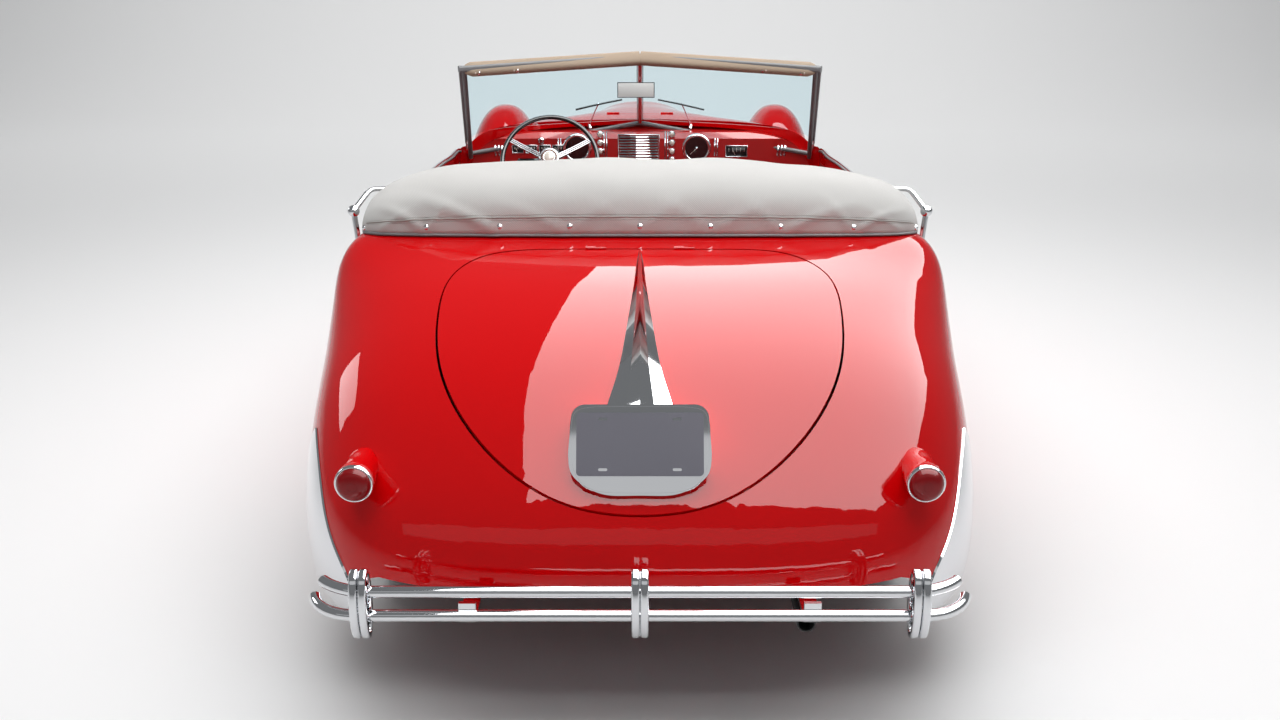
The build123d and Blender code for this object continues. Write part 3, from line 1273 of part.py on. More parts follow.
def make_floor(room):
    """Floor from the bulkhead back: toe board, footwells, heel board, seat shelf and boot floor."""
    toe_y, heel_y, shelf_y, toe_z, dash_z = 760, -660, -850, 620, 1130
    under = [
        (BULKHEAD_Y, dash_z), (BULKHEAD_Y, toe_z), (toe_y, FLOOR_Z), (heel_y, FLOOR_Z),
        (shelf_y, REAR_RAIL_TOP), (RAIL_REAR_Y, REAR_RAIL_TOP),
    ]
    over = [
        (BULKHEAD_Y - FLOOR_T, dash_z), (BULKHEAD_Y - FLOOR_T, toe_z + FLOOR_T / 2),
        (toe_y - FLOOR_T, FLOOR_Z + FLOOR_T), (heel_y + FLOOR_T / 2, FLOOR_Z + FLOOR_T),
        (shelf_y + FLOOR_T / 2, REAR_RAIL_TOP + FLOOR_T), (RAIL_REAR_Y, REAR_RAIL_TOP + FLOOR_T),
    ]
    with BuildPart() as floor:
        with BuildSketch(Plane.YZ.offset(-1000)):
            with BuildLine():
                Polyline(*under, *reversed(over), close=True)
            make_face()
        extrude(amount=2000)
        add(room, mode=Mode.INTERSECT)
        for side, _ in SIDES:
            liner = ARCH_LINER_INNER_X - LINER_T - CLEARANCE
            add(box_between((min(side * liner, side * 1000), REAR_AXLE_Y - 465, 200),
                            (max(side * liner, side * 1000), REAR_AXLE_Y + 465, 900)), mode=Mode.SUBTRACT)
        with BuildSketch(column_plane(300)):
            Circle(COLUMN_R + CLEARANCE)
        extrude(amount=700, mode=Mode.SUBTRACT)
    keep("floor", largest(floor.part))


def make_arch_liners(room):
    """Closed drums over the rear wheels, inside the body, with a wall towards the cabin."""
    liners = []
    for side, _ in SIDES:
        with BuildPart() as liner:
            middle = ARCH_LINER_INNER_X - LINER_T + LINER_HALF
            add(cross_cylinder(side * middle, REAR_AXLE_Y, BODY_LEVEL, ARCH_LINER_R + LINER_T, LINER_HALF))
            add(cross_cylinder(side * (middle + LINER_T), REAR_AXLE_Y, BODY_LEVEL, ARCH_LINER_R, LINER_HALF),
                mode=Mode.SUBTRACT)
            add(room, mode=Mode.INTERSECT)
            add(box_between((-1000, REAR_AXLE_Y - 500, 0), (1000, REAR_AXLE_Y + 500, REAR_RAIL_TOP - 120)),
                mode=Mode.SUBTRACT)
        liners.append(largest(liner.part))
    keep("rear_arch_liners", Compound(children=liners))


def make_engine():
    """The engine as one plain block at its real size, carried between the rails."""
    with BuildPart() as engine:
        add(box_between(ENGINE_LOW, ENGINE_HIGH))
    keep("engine_block", engine.part)


def make_exhaust():
    """Exhaust pipe along the right rail with its silencer, hung from the floor and the rear rail."""
    low_z = FLOOR_Z - 70
    path_points = [
        (250, 1200, low_z), (250, -900, low_z), (300, -1100, 262), (300, -1650, 262),
        (TAILPIPE_X, -2000, TAILPIPE_Z), (TAILPIPE_X, -2462, TAILPIPE_Z),
    ]
    with BuildPart() as exhaust:
        with BuildLine() as path:
            FilletPolyline(*path_points, radius=70)
        with BuildSketch(Plane(origin=path.line @ 0, z_dir=path.line % 0)):
            Circle(EXHAUST_R)
        sweep(path=path.line)
        with BuildSketch(Plane.XZ.offset(600)):
            with Locations((250, low_z)):
                Circle(SILENCER_R)
        extrude(amount=-620)
        with BuildSketch(Plane.XZ.offset(2463)):
            with Locations((TAILPIPE_X, TAILPIPE_Z)):
                Circle(EXHAUST_R - 3)
        extrude(amount=-160, mode=Mode.SUBTRACT)
        add(box_between((238, 640, low_z), (262, 660, FLOOR_Z - CLEARANCE)))
        add(box_between((238, -400, low_z), (262, -380, FLOOR_Z - CLEARANCE)))
        add(box_between((TAILPIPE_X - 5, -2120, TAILPIPE_Z + EXHAUST_R / 2),
                        (TAILPIPE_X + 5, -2100, REAR_RAIL_TOP - RAIL_HEIGHT - CLEARANCE)))
    keep("exhaust", exhaust.part)


# ---------------------------------------------------------------- the whole car
def main():
    os.makedirs("parts", exist_ok=True)
    shell, body_cut, inside = body_shell(), body_solid(CLEARANCE), body_inside()
    with BuildPart() as bonnet_room:
        add(body_solid(RUNNING_GAP))
        add(bonnet_block(RUNNING_GAP), mode=Mode.INTERSECT)
    make_body(shell)
    make_wings(body_cut, bonnet_room.part)
    make_headlamps()
    make_front_apron(body_cut, bonnet_room.part)
    make_grille(shell)
    make_windscreen(body_cut)
    make_mirror()
    make_dashboard(inside)
    make_steering()
    make_seats()
    make_hood_stack(body_cut)
    make_hood_irons(body_cut)
    make_boot_fittings(body_cut)
    make_tail_lamps(body_cut)
    make_wing_guards(body_cut)
    make_bumper("rear_bumper", -1, 92, (-OVERRIDER_X, 0, OVERRIDER_X))
    make_bumper("front_bumper", 1, 26, (-330, 330))
    for end, axle_y in (("front", FRONT_AXLE_Y), ("rear", REAR_AXLE_Y)):
        for side, name in SIDES:
            make_tyre(f"tyre_{end}_{name}", side, axle_y)
            make_wheel(f"wheel_{end}_{name}", side, axle_y)
    make_front_axle()
    make_rear_axle()
    make_chassis()
    make_floor(inside)
    make_arch_liners(inside)
    make_engine()
    make_exhaust()


main()
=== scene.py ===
# %% [markdown]
# # A classic open car, dressed around its CAD frame
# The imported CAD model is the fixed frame: its pieces keep their places and sizes. This script gives
# each of them a finish and adds what the solids leave out, such as the hood's canvas cover, the
# instruments, the seals and the seats' leather. Everything is in metres, +Y is forwards, and +X is
# the car's right side.

# %% Load the frame
from math import cos, pi, radians, sin

import bmesh
import bpy
from mathutils import Matrix, Vector, noise


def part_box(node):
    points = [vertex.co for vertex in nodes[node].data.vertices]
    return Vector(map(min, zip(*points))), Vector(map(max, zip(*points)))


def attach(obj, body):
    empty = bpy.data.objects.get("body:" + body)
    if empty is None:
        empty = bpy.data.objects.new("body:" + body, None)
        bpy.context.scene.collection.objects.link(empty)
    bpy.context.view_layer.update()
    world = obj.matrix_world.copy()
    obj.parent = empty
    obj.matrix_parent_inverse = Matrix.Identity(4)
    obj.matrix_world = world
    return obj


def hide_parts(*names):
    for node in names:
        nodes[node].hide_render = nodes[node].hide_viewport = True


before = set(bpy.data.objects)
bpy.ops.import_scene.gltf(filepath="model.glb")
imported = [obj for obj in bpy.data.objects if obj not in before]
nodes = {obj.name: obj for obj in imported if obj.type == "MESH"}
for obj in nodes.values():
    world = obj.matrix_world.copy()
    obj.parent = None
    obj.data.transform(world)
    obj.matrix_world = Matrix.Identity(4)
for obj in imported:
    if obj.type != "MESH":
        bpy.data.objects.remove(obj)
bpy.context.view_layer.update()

# %% [markdown]
# ## Small helpers
# A finished piece is a smooth mesh whose object sits at the origin, so that its pattern stays put
# when the model is exported. `dress` names its body, and prints what it is.

# %% Mesh helpers
SIDES = (-1, 1)
BACKWARDS, RIGHTWARDS = (0, -1, 0), (1, 0, 0)
TIP = 0.0001  # radius that closes a turned profile at its axis


def corners(node):
    """The low and the high corner of a CAD piece's box."""
    return [Vector(corner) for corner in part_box(node)]


def smoothed(mesh):
    mesh.polygons.foreach_set("use_smooth", [True] * len(mesh.polygons))
    return mesh


def mended(mesh, weld=0.0):
    """Welds points that lie closer than a distance, and turns the faces outwards."""
    bm = bmesh.new()
    bm.from_mesh(mesh)
    if weld:
        bmesh.ops.remove_doubles(bm, verts=bm.verts, dist=weld)
    bmesh.ops.recalc_face_normals(bm, faces=bm.faces)
    bm.to_mesh(mesh)
    bm.free()
    return smoothed(mesh)

# %% Objects, bodies and slots
def new_object(name, data):
    made = bpy.data.objects.new(name, data)
    bpy.context.collection.objects.link(made)
    return made


def placed(name, mesh, *materials):
    """A mesh as an object at the origin, with its materials."""
    for material in materials:
        mesh.materials.append(material)
    return new_object(name, smoothed(mesh))


def mesh_piece(name, points, faces, material):
    mesh = bpy.data.meshes.new(name)
    mesh.from_pydata([tuple(point) for point in points], [], faces)
    return placed(name, mended(mesh, 1e-5), material)


def dress(piece, body="root"):
    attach(piece, body)
    print(piece.name, "rides on", body, "with", len(piece.data.polygons), "faces")
    return piece


def as_mesh(piece):
    """The plain mesh that an object's modifiers or curve give."""
    return bpy.data.meshes.new_from_object(piece.evaluated_get(bpy.context.evaluated_depsgraph_get()))


def applied(piece):
    """Turns a piece's modifiers into plain mesh."""
    mesh, old = as_mesh(piece), piece.data
    piece.modifiers.clear()
    piece.data = mesh
    bpy.data.meshes.remove(old)
    return piece


# %% [markdown]
# ## Shader groups
# Fine grain and cloth weave turn up in several finishes. Each is a node group with named inputs,
# built once and placed in each material with its own values.

# %% Node helpers
def add_node(tree, kind, inputs=None, **settings):
    """The outputs of a new node, whose inputs are set to values or linked to other nodes' outputs."""
    made = tree.nodes.new(kind)
    for label, value in settings.items():
        setattr(made, label, value)
    for label, value in (inputs or {}).items():
        if isinstance(value, bpy.types.NodeSocket):
            tree.links.new(value, made.inputs[label])
        else:
            made.inputs[label].default_value = value
    return made.outputs


def shader_node(tree, kind, inputs=None, **settings):
    return add_node(tree, "ShaderNode" + kind, inputs, **settings)


def math_node(tree, operation, *values):
    return shader_node(tree, "Math", dict(enumerate(values)), operation=operation)[0]

# %% Grain and weave
def node_group(name, inputs, outputs):
    """A shader group, with what its input node gives and what its output node takes."""
    group = bpy.data.node_groups.new(name, "ShaderNodeTree")
    for label, value in inputs.items():
        socket = group.interface.new_socket(label, in_out="INPUT", socket_type="NodeSocketFloat")
        socket.default_value = value
    for label in outputs:
        group.interface.new_socket(label, in_out="OUTPUT", socket_type="NodeSocketFloat")
    return group, group.nodes.new("NodeGroupInput").outputs, group.nodes.new("NodeGroupOutput").inputs


def make_grain_group():
    """Soft mottling: a mask for the colour and a height for the bump."""
    group, given, result = node_group("grain", {"Scale": 60.0, "Detail": 5.0}, ("Mask", "Height"))
    place = shader_node(group, "TexCoord")["Object"]
    cloud = shader_node(group, "TexNoise", {
        "Vector": place, "Scale": given["Scale"], "Detail": given["Detail"]})
    patches = shader_node(group, "TexNoise", {"Vector": place, "Scale": 3.0})
    group.links.new(patches["Fac"], result["Mask"])
    group.links.new(cloud["Fac"], result["Height"])
    return group


def make_weave_group():
    """Plain weave on the piece's own UV map; Threads is how many radians a metre of thread turns."""
    group, given, result = node_group("weave", {"Threads": 900.0}, ("Height", "Mask"))
    place = shader_node(group, "TexCoord")
    split = shader_node(group, "SeparateXYZ", {0: place["UV"]})
    waves = [math_node(group, "SINE", math_node(group, "MULTIPLY", split[axis], given["Threads"]))
             for axis in ("X", "Y")]
    group.links.new(math_node(group, "MULTIPLY", *waves), result["Height"])
    worn = shader_node(group, "TexNoise", {"Vector": place["Object"], "Scale": 5.0, "Detail": 6.0})
    group.links.new(worn["Fac"], result["Mask"])
    return group


grain_group = make_grain_group()
weave_group = make_weave_group()

# %% [markdown]
# ## Finishes
# One function makes nearly every finish: colour and roughness vary a little with a mask, and a bump
# follows a height. The coat makes car enamel look deep, and its value stays on the shader's own
# socket so that the export keeps it.

# %% Material maker
def new_material(name, **sockets):
    """A material with values on its shader's own sockets, its tree, and those sockets."""
    material = bpy.data.materials.new(name)
    material.use_nodes = True
    shader = material.node_tree.nodes["Principled BSDF"]
    for label, value in sockets.items():
        shader.inputs[label.replace("_", " ")].default_value = value
    return material, material.node_tree, shader.inputs


def link_colour(tree, sockets, factor, low, high):
    """Colours the shader with a mix of two colours."""
    shade = shader_node(tree, "Mix", {"Factor": factor, "A": (*low, 1), "B": (*high, 1)}, data_type="RGBA")
    tree.links.new(shade["Result"], sockets["Base Color"])


def link_bump(tree, sockets, height, strength, depth):
    relief = shader_node(tree, "Bump", {"Height": height, "Strength": strength, "Distance": depth})
    tree.links.new(relief["Normal"], sockets["Normal"])


def finish(name, colour, rough, metal=0.0, coat=0.0, vary=0.06, group=grain_group, bump=0.0,
           depth=0.001, rough_vary=0.05, scale=60.0, detail=5.0, **more):
    """A finish; vary is a share of the colour, depth is in metres, and more are shader sockets."""
    material, tree, sockets = new_material(name, Metallic=metal, Coat_Weight=coat, **more)
    values = {"Scale": scale, "Detail": detail} if group is grain_group else {}
    pattern = shader_node(tree, "Group", values, node_tree=group)
    link_colour(tree, sockets, pattern["Mask"], [c * (1 - vary) for c in colour],
                [min(1, c * (1 + vary)) for c in colour])
    spread = shader_node(tree, "MapRange", {
        "Value": pattern["Mask"], "To Min": max(0, rough - rough_vary), "To Max": rough + rough_vary})
    tree.links.new(spread["Result"], sockets["Roughness"])
    if bump:
        link_bump(tree, sockets, pattern["Height"], bump, depth)
    return material


# %% The finishes of this car
enamel = finish("red_enamel", (0.60, 0.0008, 0.0022), 0.4, coat=1.0, vary=0.03, rough_vary=0.03,
                Coat_Roughness=0.012, Coat_IOR=1.4, Specular_IOR_Level=0.0)
dash_enamel = finish("dash_enamel", (0.52, 0.006, 0.006), 0.3, coat=1.0, vary=0.04, Coat_Roughness=0.03)
chrome = finish("chrome_plate", (0.68, 0.69, 0.71), 0.045, metal=1.0, vary=0.02, rough_vary=0.02)
satin_chrome = finish("satin_plate", (0.55, 0.56, 0.58), 0.3, metal=1.0, vary=0.05)
black_steel = finish("chassis_black", (0.018, 0.018, 0.019), 0.5, vary=0.3, bump=0.15, scale=40.0)
iron = finish("painted_iron", (0.06, 0.065, 0.07), 0.55, metal=0.3, vary=0.25, bump=0.3, scale=90.0)
rubber = finish("tyre_rubber", (0.016, 0.016, 0.017), 0.72, vary=0.25, bump=0.25, scale=220.0)
seal_rubber = finish("seal_rubber", (0.16, 0.165, 0.17), 0.6, vary=0.12, bump=0.1)
black_gloss = finish("black_gloss", (0.008, 0.008, 0.009), 0.16, coat=0.6, vary=0.2)
canvas = finish("hood_canvas", (0.455, 0.445, 0.43), 0.9, vary=0.07, group=weave_group, bump=0.35,
                depth=0.0006, Sheen_Weight=0.25)
canvas_dark = finish("hood_seam", (0.30, 0.285, 0.26), 0.9, vary=0.1, bump=0.3, scale=400.0)
thread = finish("hood_thread", (0.20, 0.18, 0.16), 0.8, vary=0.15)
tan_cloth = finish("header_cloth", (0.36, 0.27, 0.19), 0.9, vary=0.1, bump=0.4, scale=500.0)
leather = finish("red_leather", (0.34, 0.014, 0.012), 0.42, vary=0.14, bump=0.35, depth=0.0008,
                 scale=420.0, detail=3.0)
carpet = finish("red_carpet", (0.16, 0.01, 0.01), 0.95, vary=0.25, bump=0.8, depth=0.002,
                scale=700.0, Sheen_Weight=0.4)
plate_grey = finish("plate_grey", (0.115, 0.112, 0.14), 0.42, vary=0.04)
dial_black = finish("dial_black", (0.012, 0.012, 0.013), 0.4, vary=0.1)
dial_white = finish("dial_white", (0.78, 0.76, 0.70), 0.5, vary=0.03)
knob_ivory = finish("knob_ivory", (0.80, 0.75, 0.66), 0.25, coat=0.5, vary=0.05)
brown_plastic = finish("hub_brown", (0.10, 0.025, 0.012), 0.25, coat=0.6, vary=0.1)
mirror_silver = finish("mirror_silver", (0.85, 0.86, 0.87), 0.03, metal=1.0, vary=0.01, rough_vary=0.01)
ruby_lens = finish("ruby_lens", (0.24, 0.0006, 0.003), 0.3, coat=0.35, vary=0.2, bump=0.2,
                   Coat_Roughness=0.02, Specular_IOR_Level=0.15)

# %% [markdown]
# ## Glass
# Window glass has a faint blue, and a headlamp's lens is clear and ribbed.

# %% Glass and lenses
def glass_finish(name, colour, rough, ior, ribs=0.0):
    """Glass; ribs is how many radians a metre of pressed ribs turns."""
    material, tree, sockets = new_material(
        name, Base_Color=(*colour, 1), Roughness=rough, Transmission_Weight=1.0, IOR=ior)
    if ribs:
        across = shader_node(tree, "SeparateXYZ", {0: shader_node(tree, "TexCoord")["Object"]})["X"]
        wave = math_node(tree, "SINE", math_node(tree, "MULTIPLY", across, ribs))
        link_bump(tree, sockets, wave, 0.6, 0.002)
    return material


screen_glass = glass_finish("screen_glass", (0.78, 0.92, 0.96), 0.0, 1.03)
clear_lens = glass_finish("headlamp_lens", (0.9, 0.92, 0.93), 0.05, 1.3, ribs=500.0)

# %% [markdown]
# ## Finishes for the CAD pieces
# A solid whose shape is right keeps its mesh and only gets a better finish.

# %% Dress the CAD pieces
CAR_CORNERS = ("front_left", "front_right", "rear_left", "rear_right")
CAD_FINISH = {
    enamel: "body_tub bonnet boot_lid door_left door_right wing_left wing_right front_apron "
            "tail_lamp_housings " + " ".join(f"wheel_{corner}" for corner in CAR_CORNERS),
    dash_enamel: "dashboard",
    seal_rubber: "windscreen_frame",
    chrome: "grille headlamps hood_irons plate_housing boot_spear wing_guards rear_bumper front_bumper",
    black_gloss: "dash_dials steering_wheel steering_column",
    screen_glass: "windscreen_glass",
    clear_lens: "headlamp_lenses",
    ruby_lens: "tail_lamp_lenses",
    mirror_silver: "mirror",
    plate_grey: "number_plate",
    canvas: "hood_stack",
    leather: "front_bench rear_bench",
    carpet: "floor",
    black_steel: "chassis exhaust rear_arch_liners front_seat_base",
    iron: "front_axle rear_axle knuckle_left knuckle_right engine_block",
    rubber: " ".join(f"tyre_{corner}" for corner in CAR_CORNERS),
}
for material, names in CAD_FINISH.items():
    for name in names.split():
        nodes[name].data.materials.clear()
        nodes[name].data.materials.append(material)
print(len(CAD_FINISH), "finishes on the CAD pieces")

# %% [markdown]
# ## Makers of small pieces
# A sheet is a grid of points with a UV map in metres. Trim and instruments are turned, tubes or bars.
# One Geometry Nodes group places what repeats, such as snaps, stitches and screws, and turns each
# copy by two stored directions.

# %% Sheets
def running_lengths(points):
    """How far along a line of points each one lies."""
    lengths = [0.0]
    for a, b in zip(points, points[1:]):
        lengths.append(lengths[-1] + (Vector(b) - Vector(a)).length)
    return lengths


def grid_piece(name, rows, material):
    """A smooth sheet through rows of points."""
    width = len(rows[0])
    mesh = bpy.data.meshes.new(name)
    faces = [(i * width + j, i * width + j + 1, (i + 1) * width + j + 1, (i + 1) * width + j)
             for i in range(len(rows) - 1) for j in range(width - 1)]
    mesh.from_pydata([tuple(point) for row in rows for point in row], [], faces)
    along = running_lengths(rows[len(rows) // 2])
    across = running_lengths([row[width // 2] for row in rows])
    layer = mesh.uv_layers.new(name="UVMap")
    for loop in mesh.loops:
        i, j = divmod(loop.vertex_index, width)
        layer.data[loop.index].uv = (along[j], across[i])
    return placed(name, mesh, material)

# %% Turned pieces
def turned(name, profile, centre, axis, steps, material=chrome, add=(0, 0)):
    """A profile of (radius, height) turned about an axis; add is what each radius and height gets more."""
    turn = Vector(axis).to_track_quat("Z", "Y").to_matrix()
    angles = [2 * pi * k / steps for k in range(steps)]
    profile = [(radius + add[0], height + add[1]) for radius, height in profile]
    points = [Vector(centre) + turn @ Vector((radius * cos(angle), radius * sin(angle), height))
              for radius, height in profile for angle in angles]
    faces = [(i * steps + k, i * steps + after, (i + 1) * steps + after, (i + 1) * steps + k)
             for i in range(len(profile) - 1) for k in range(steps) for after in [(k + 1) % steps]]
    return mesh_piece(name, points, faces, material)


def template(profile, steps, material=chrome):
    """A turned piece to copy, which stands on its own origin."""
    return turned("template", profile, (0, 0, 0), (0, 0, 1), steps, material)

# %% Wire
def tube(name, lines, radius, material=chrome, kind="NURBS", closed=False):
    """Round wire along one or more lines of points."""
    curve = bpy.data.curves.new(name, "CURVE")
    curve.dimensions = "3D"
    curve.bevel_depth = radius
    curve.bevel_resolution = 3
    curve.use_fill_caps = True
    for points in lines:
        spline = curve.splines.new(kind)
        spline.points.add(len(points) - 1)
        for place, point in zip(spline.points, points):
            place.co = (*point, 1)
        spline.use_cyclic_u = closed
        if kind == "NURBS":
            spline.order_u = 3
            spline.use_endpoint_u = not closed
    wire = new_object(name + "_line", curve)
    mesh = as_mesh(wire)
    bpy.data.objects.remove(wire)
    mesh.name = name
    mesh.materials.clear()
    return placed(name, mesh, material)


def rim(name, low_x, high_x, low_z, high_z, y, radius, material=chrome):
    """An upright rectangle of wire."""
    line = [(low_x, y, low_z), (high_x, y, low_z), (high_x, y, high_z), (low_x, y, high_z)]
    return tube(name, [line], radius, material, "POLY", closed=True)

# %% Bars, and pieces joined
def bar(name, size, centre, material, round_edge=0.002, turn=None):
    """A straight bar with rounded edges."""
    bm = bmesh.new()
    bmesh.ops.create_cube(bm, size=1.0)
    bmesh.ops.scale(bm, vec=size, verts=bm.verts)
    bmesh.ops.bevel(bm, geom=bm.edges, offset=min(round_edge, min(size) * 0.45), segments=3, affect="EDGES")
    if turn:
        bmesh.ops.transform(bm, matrix=turn, verts=bm.verts)
    bmesh.ops.translate(bm, vec=centre, verts=bm.verts)
    mesh = bpy.data.meshes.new(name)
    bm.to_mesh(mesh)
    bm.free()
    return placed(name, mesh, material)


def joined(name, pieces):
    """One object from several, with their materials kept."""
    bm = bmesh.new()
    materials = []
    for piece in pieces:
        start = len(bm.faces)
        bm.from_mesh(piece.data)
        bm.faces.ensure_lookup_table()
        for face in bm.faces[start:]:
            material = piece.data.materials[face.material_index]
            if material not in materials:
                materials.append(material)
            face.material_index = materials.index(material)
        bpy.data.objects.remove(piece)
    mesh = bpy.data.meshes.new(name)
    bm.to_mesh(mesh)
    bm.free()
    return placed(name, mesh, *materials)


def assembly(name, pieces, body="root"):
    return dress(joined(name, pieces), body)


def mirror(side, line):
    """A line given for the right side, or its mirror image on the left."""
    return [Vector((side * x, y, z)) for x, y, z in line]


# %% Copies on points
def make_copies_group():
    """Copies of a piece, whose Z leans along one stored direction and whose X along the other."""
    group = bpy.data.node_groups.new("copies_on_points", "GeometryNodeTree")
    for label in ("Geometry", "Object", "Material"):
        group.interface.new_socket(label, in_out="INPUT", socket_type="NodeSocket" + label)
    group.interface.new_socket("Geometry", in_out="OUTPUT", socket_type="NodeSocketGeometry")
    given, result = group.nodes.new("NodeGroupInput").outputs, group.nodes.new("NodeGroupOutput").inputs
    turn = {}
    for label, axis, pivot in (("lean", "Z", "AUTO"), ("along", "X", "Z")):
        stored = add_node(group, "GeometryNodeInputNamedAttribute", {"Name": label}, data_type="FLOAT_VECTOR")
        turn = {"Rotation": add_node(
            group, "FunctionNodeAlignRotationToVector", {"Vector": stored["Attribute"], **turn},
            axis=axis, pivot_axis=pivot)["Rotation"]}
    source = add_node(group, "GeometryNodeObjectInfo", {"Object": given["Object"]})
    place = add_node(group, "GeometryNodeInstanceOnPoints", {
        "Points": given["Geometry"], "Instance": source["Geometry"], **turn})
    real = add_node(group, "GeometryNodeRealizeInstances", {"Geometry": place["Instances"]})
    painted = add_node(group, "GeometryNodeSetMaterial", {
        "Geometry": real["Geometry"], "Material": given["Material"]})
    group.links.new(painted["Geometry"], result["Geometry"])
    return group


copies_group = make_copies_group()

# %% Place the copies
def copies(name, model, places, material=chrome):
    """Copies of a model, one at each (point, lean, along)."""
    mesh = bpy.data.meshes.new(name)
    mesh.from_pydata([tuple(point) for point, _, _ in places], [], [])
    for label, index in (("lean", 1), ("along", 2)):
        stored = mesh.attributes.new(label, "FLOAT_VECTOR", "POINT")
        stored.data.foreach_set("vector", [value for spot in places for value in spot[index]])
    piece = new_object(name, mesh)
    modifier = piece.modifiers.new("copies", "NODES")
    modifier.node_group = copies_group
    for socket in copies_group.interface.items_tree:
        if socket.in_out == "INPUT" and socket.name != "Geometry":
            modifier[socket.identifier] = {"Object": model, "Material": material}[socket.name]
    smoothed(applied(piece).data)
    bpy.data.objects.remove(model)
    return piece

# %% Find a surface
def surface_at(node, start, direction):
    """Where a ray from a point meets a CAD piece, or None."""
    piece = nodes[node]
    back = piece.matrix_world.inverted()
    way = (back.to_3x3() @ Vector(direction)).normalized()
    hit, place, _, _ = piece.ray_cast(back @ Vector(start), way)
    return piece.matrix_world @ place if hit else None


# %% [markdown]
# ## The canvas cover over the folded hood
# On the real car the hood lies folded in its well, and a canvas envelope is pulled over it and
# snapped to the body along its lower edge. The envelope's shape is held by tension between its snaps
# and the rolled hood, so it is built from that: an upright loaf over a squarish plan, with soft
# creases that start at the snaps and fade, and a front that tucks under inside the cabin.

# %% Shape of the cover
hood_low, hood_high = corners("hood_stack")
COVER_HALF = hood_high.x + 0.004
COVER_REAR_Y = hood_low.y - 0.004
COVER_FRONT_Y = hood_high.y + 0.012
COVER_MIDDLE_Y = -1.15
COVER_RISE, COVER_END_DROP = 0.182, 0.028
COVER_PLAN, COVER_ROUND, COVER_TOP_ROUND = 4.8, 2.45, 3.4  # exponents; a higher one is squarer
COVER_REACH = 0.62  # from hem to hem over the top, as the creases count it
COVER_THICK = 0.0022
DECK_Z, CABIN_FOOT_Z = 1.05, 1.045
HEM_LIFT = 0.008
CREASE_DEPTH, CREASE_START, CREASE_SPREAD = 1.8, 0.008, 0.075
CREASES = (  # place it starts from, its lean, its length, its height
    (-0.42, -1.9, 0.36, 0.017), (-0.64, -1.2, 0.24, 0.014), (-0.64, 0.6, 0.18, 0.009),
    (-0.21, -2.2, 0.30, 0.010), (-0.21, 1.3, 0.22, 0.008), (0.0, -1.6, 0.22, 0.007),
    (0.0, 1.2, 0.24, 0.008), (0.21, -1.4, 0.22, 0.009), (0.21, 1.8, 0.26, 0.008),
    (0.42, 2.1, 0.32, 0.012), (0.42, -1.0, 0.18, 0.009), (0.64, 1.4, 0.24, 0.014),
    (0.64, -0.7, 0.2, 0.010), (0.80, -1.2, 0.18, 0.009), (-0.80, 1.2, 0.18, 0.010),
)


def crease_height(x, up):
    """How far the creases lift the cloth at a place across and up it."""
    total = 0.0
    for start, lean, length, height in CREASES:
        slant = (1 + lean * lean) ** 0.5
        run, off = ((x - start) * lean + up) / slant, ((x - start) - up * lean) / slant
        if 0 < run < length:
            fade = (1 - run / length) ** 1.2 * min(1, run / 0.03)
            spread = CREASE_START + run * CREASE_SPREAD
            total += CREASE_DEPTH * height * fade * 2.72 ** -((off / spread) ** 2)
    return total

# %% The cover's surface
def cover_point(x, turn):
    """A point of the cover at a place across the car; turn runs from 0 at the hem over to 1 in front."""
    share = min(1.0, abs(x) / COVER_HALF)
    plan = (1 - share ** COVER_PLAN) ** (1 / COVER_PLAN)
    rear = COVER_MIDDLE_Y + (COVER_REAR_Y - COVER_MIDDLE_Y) * plan
    front = COVER_MIDDLE_Y + (COVER_FRONT_Y - COVER_MIDDLE_Y) * plan
    deck = surface_at("body_tub", (x, rear, 2), (0, 0, -1))
    base = (deck.z if deck else DECK_Z) + HEM_LIFT
    top = base + (COVER_RISE - COVER_END_DROP * share ** 2) * (
        1 - share ** COVER_TOP_ROUND) ** (1 / COVER_TOP_ROUND)
    angle = turn * pi
    ease, lift = abs(cos(angle)) ** (2 / COVER_ROUND), sin(angle) ** (2 / COVER_ROUND)
    y = COVER_MIDDLE_Y + ((rear if turn < 0.5 else front) - COVER_MIDDLE_Y) * ease
    foot = base if turn < 0.5 else base + (min(base, CABIN_FOOT_Z) - base) * ease
    broad = (0.013 * noise.noise(Vector((x * 3.3 + 4, turn * 2.2, 0.7)))
             + 0.004 * noise.noise(Vector((x * 9, turn * 6, 2))))
    push = (crease_height(x, turn * COVER_REACH) + broad * sin(angle)) * (0.35 + 0.65 * sin(angle))
    outwards = Vector((0, -cos(angle), sin(angle))).normalized()
    return Vector((x, y, foot + (top - foot) * lift)) + outwards * push


def cover_rows():
    half_columns, steps = 80, 56
    columns = [COVER_HALF * (1 if k > 0 else -1) * abs(sin(k / half_columns * pi / 2)) ** 0.9
               for k in range(-half_columns, half_columns + 1)]
    rows = [[cover_point(x, k / steps) for x in columns] for k in range(steps + 1)]
    last = rows[-1]
    for drop, tuck in ((0.035, -0.002), (0.072, 0.012), (0.084, 0.05), (0.085, 0.16)):
        rows.append([Vector((p.x, p.y - tuck * fade, p.z - drop * fade))
                     for p in last for fade in [max(0.0, min(1.0, (0.80 - abs(p.x)) / 0.05))]])
    return rows

# %% Make the cover
cover = grid_piece("canvas_cover", cover_rows(), canvas)
solid = cover.modifiers.new("thickness", "SOLIDIFY")
solid.thickness, solid.offset = COVER_THICK, 1.0
mended(applied(cover).data)
dress(cover)
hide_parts("hood_stack")

# %% [markdown]
# A raised seam runs above the hem, sewn on both sides, and nine snaps hold the hem down. A grey
# piping lies between the hem and the enamel.

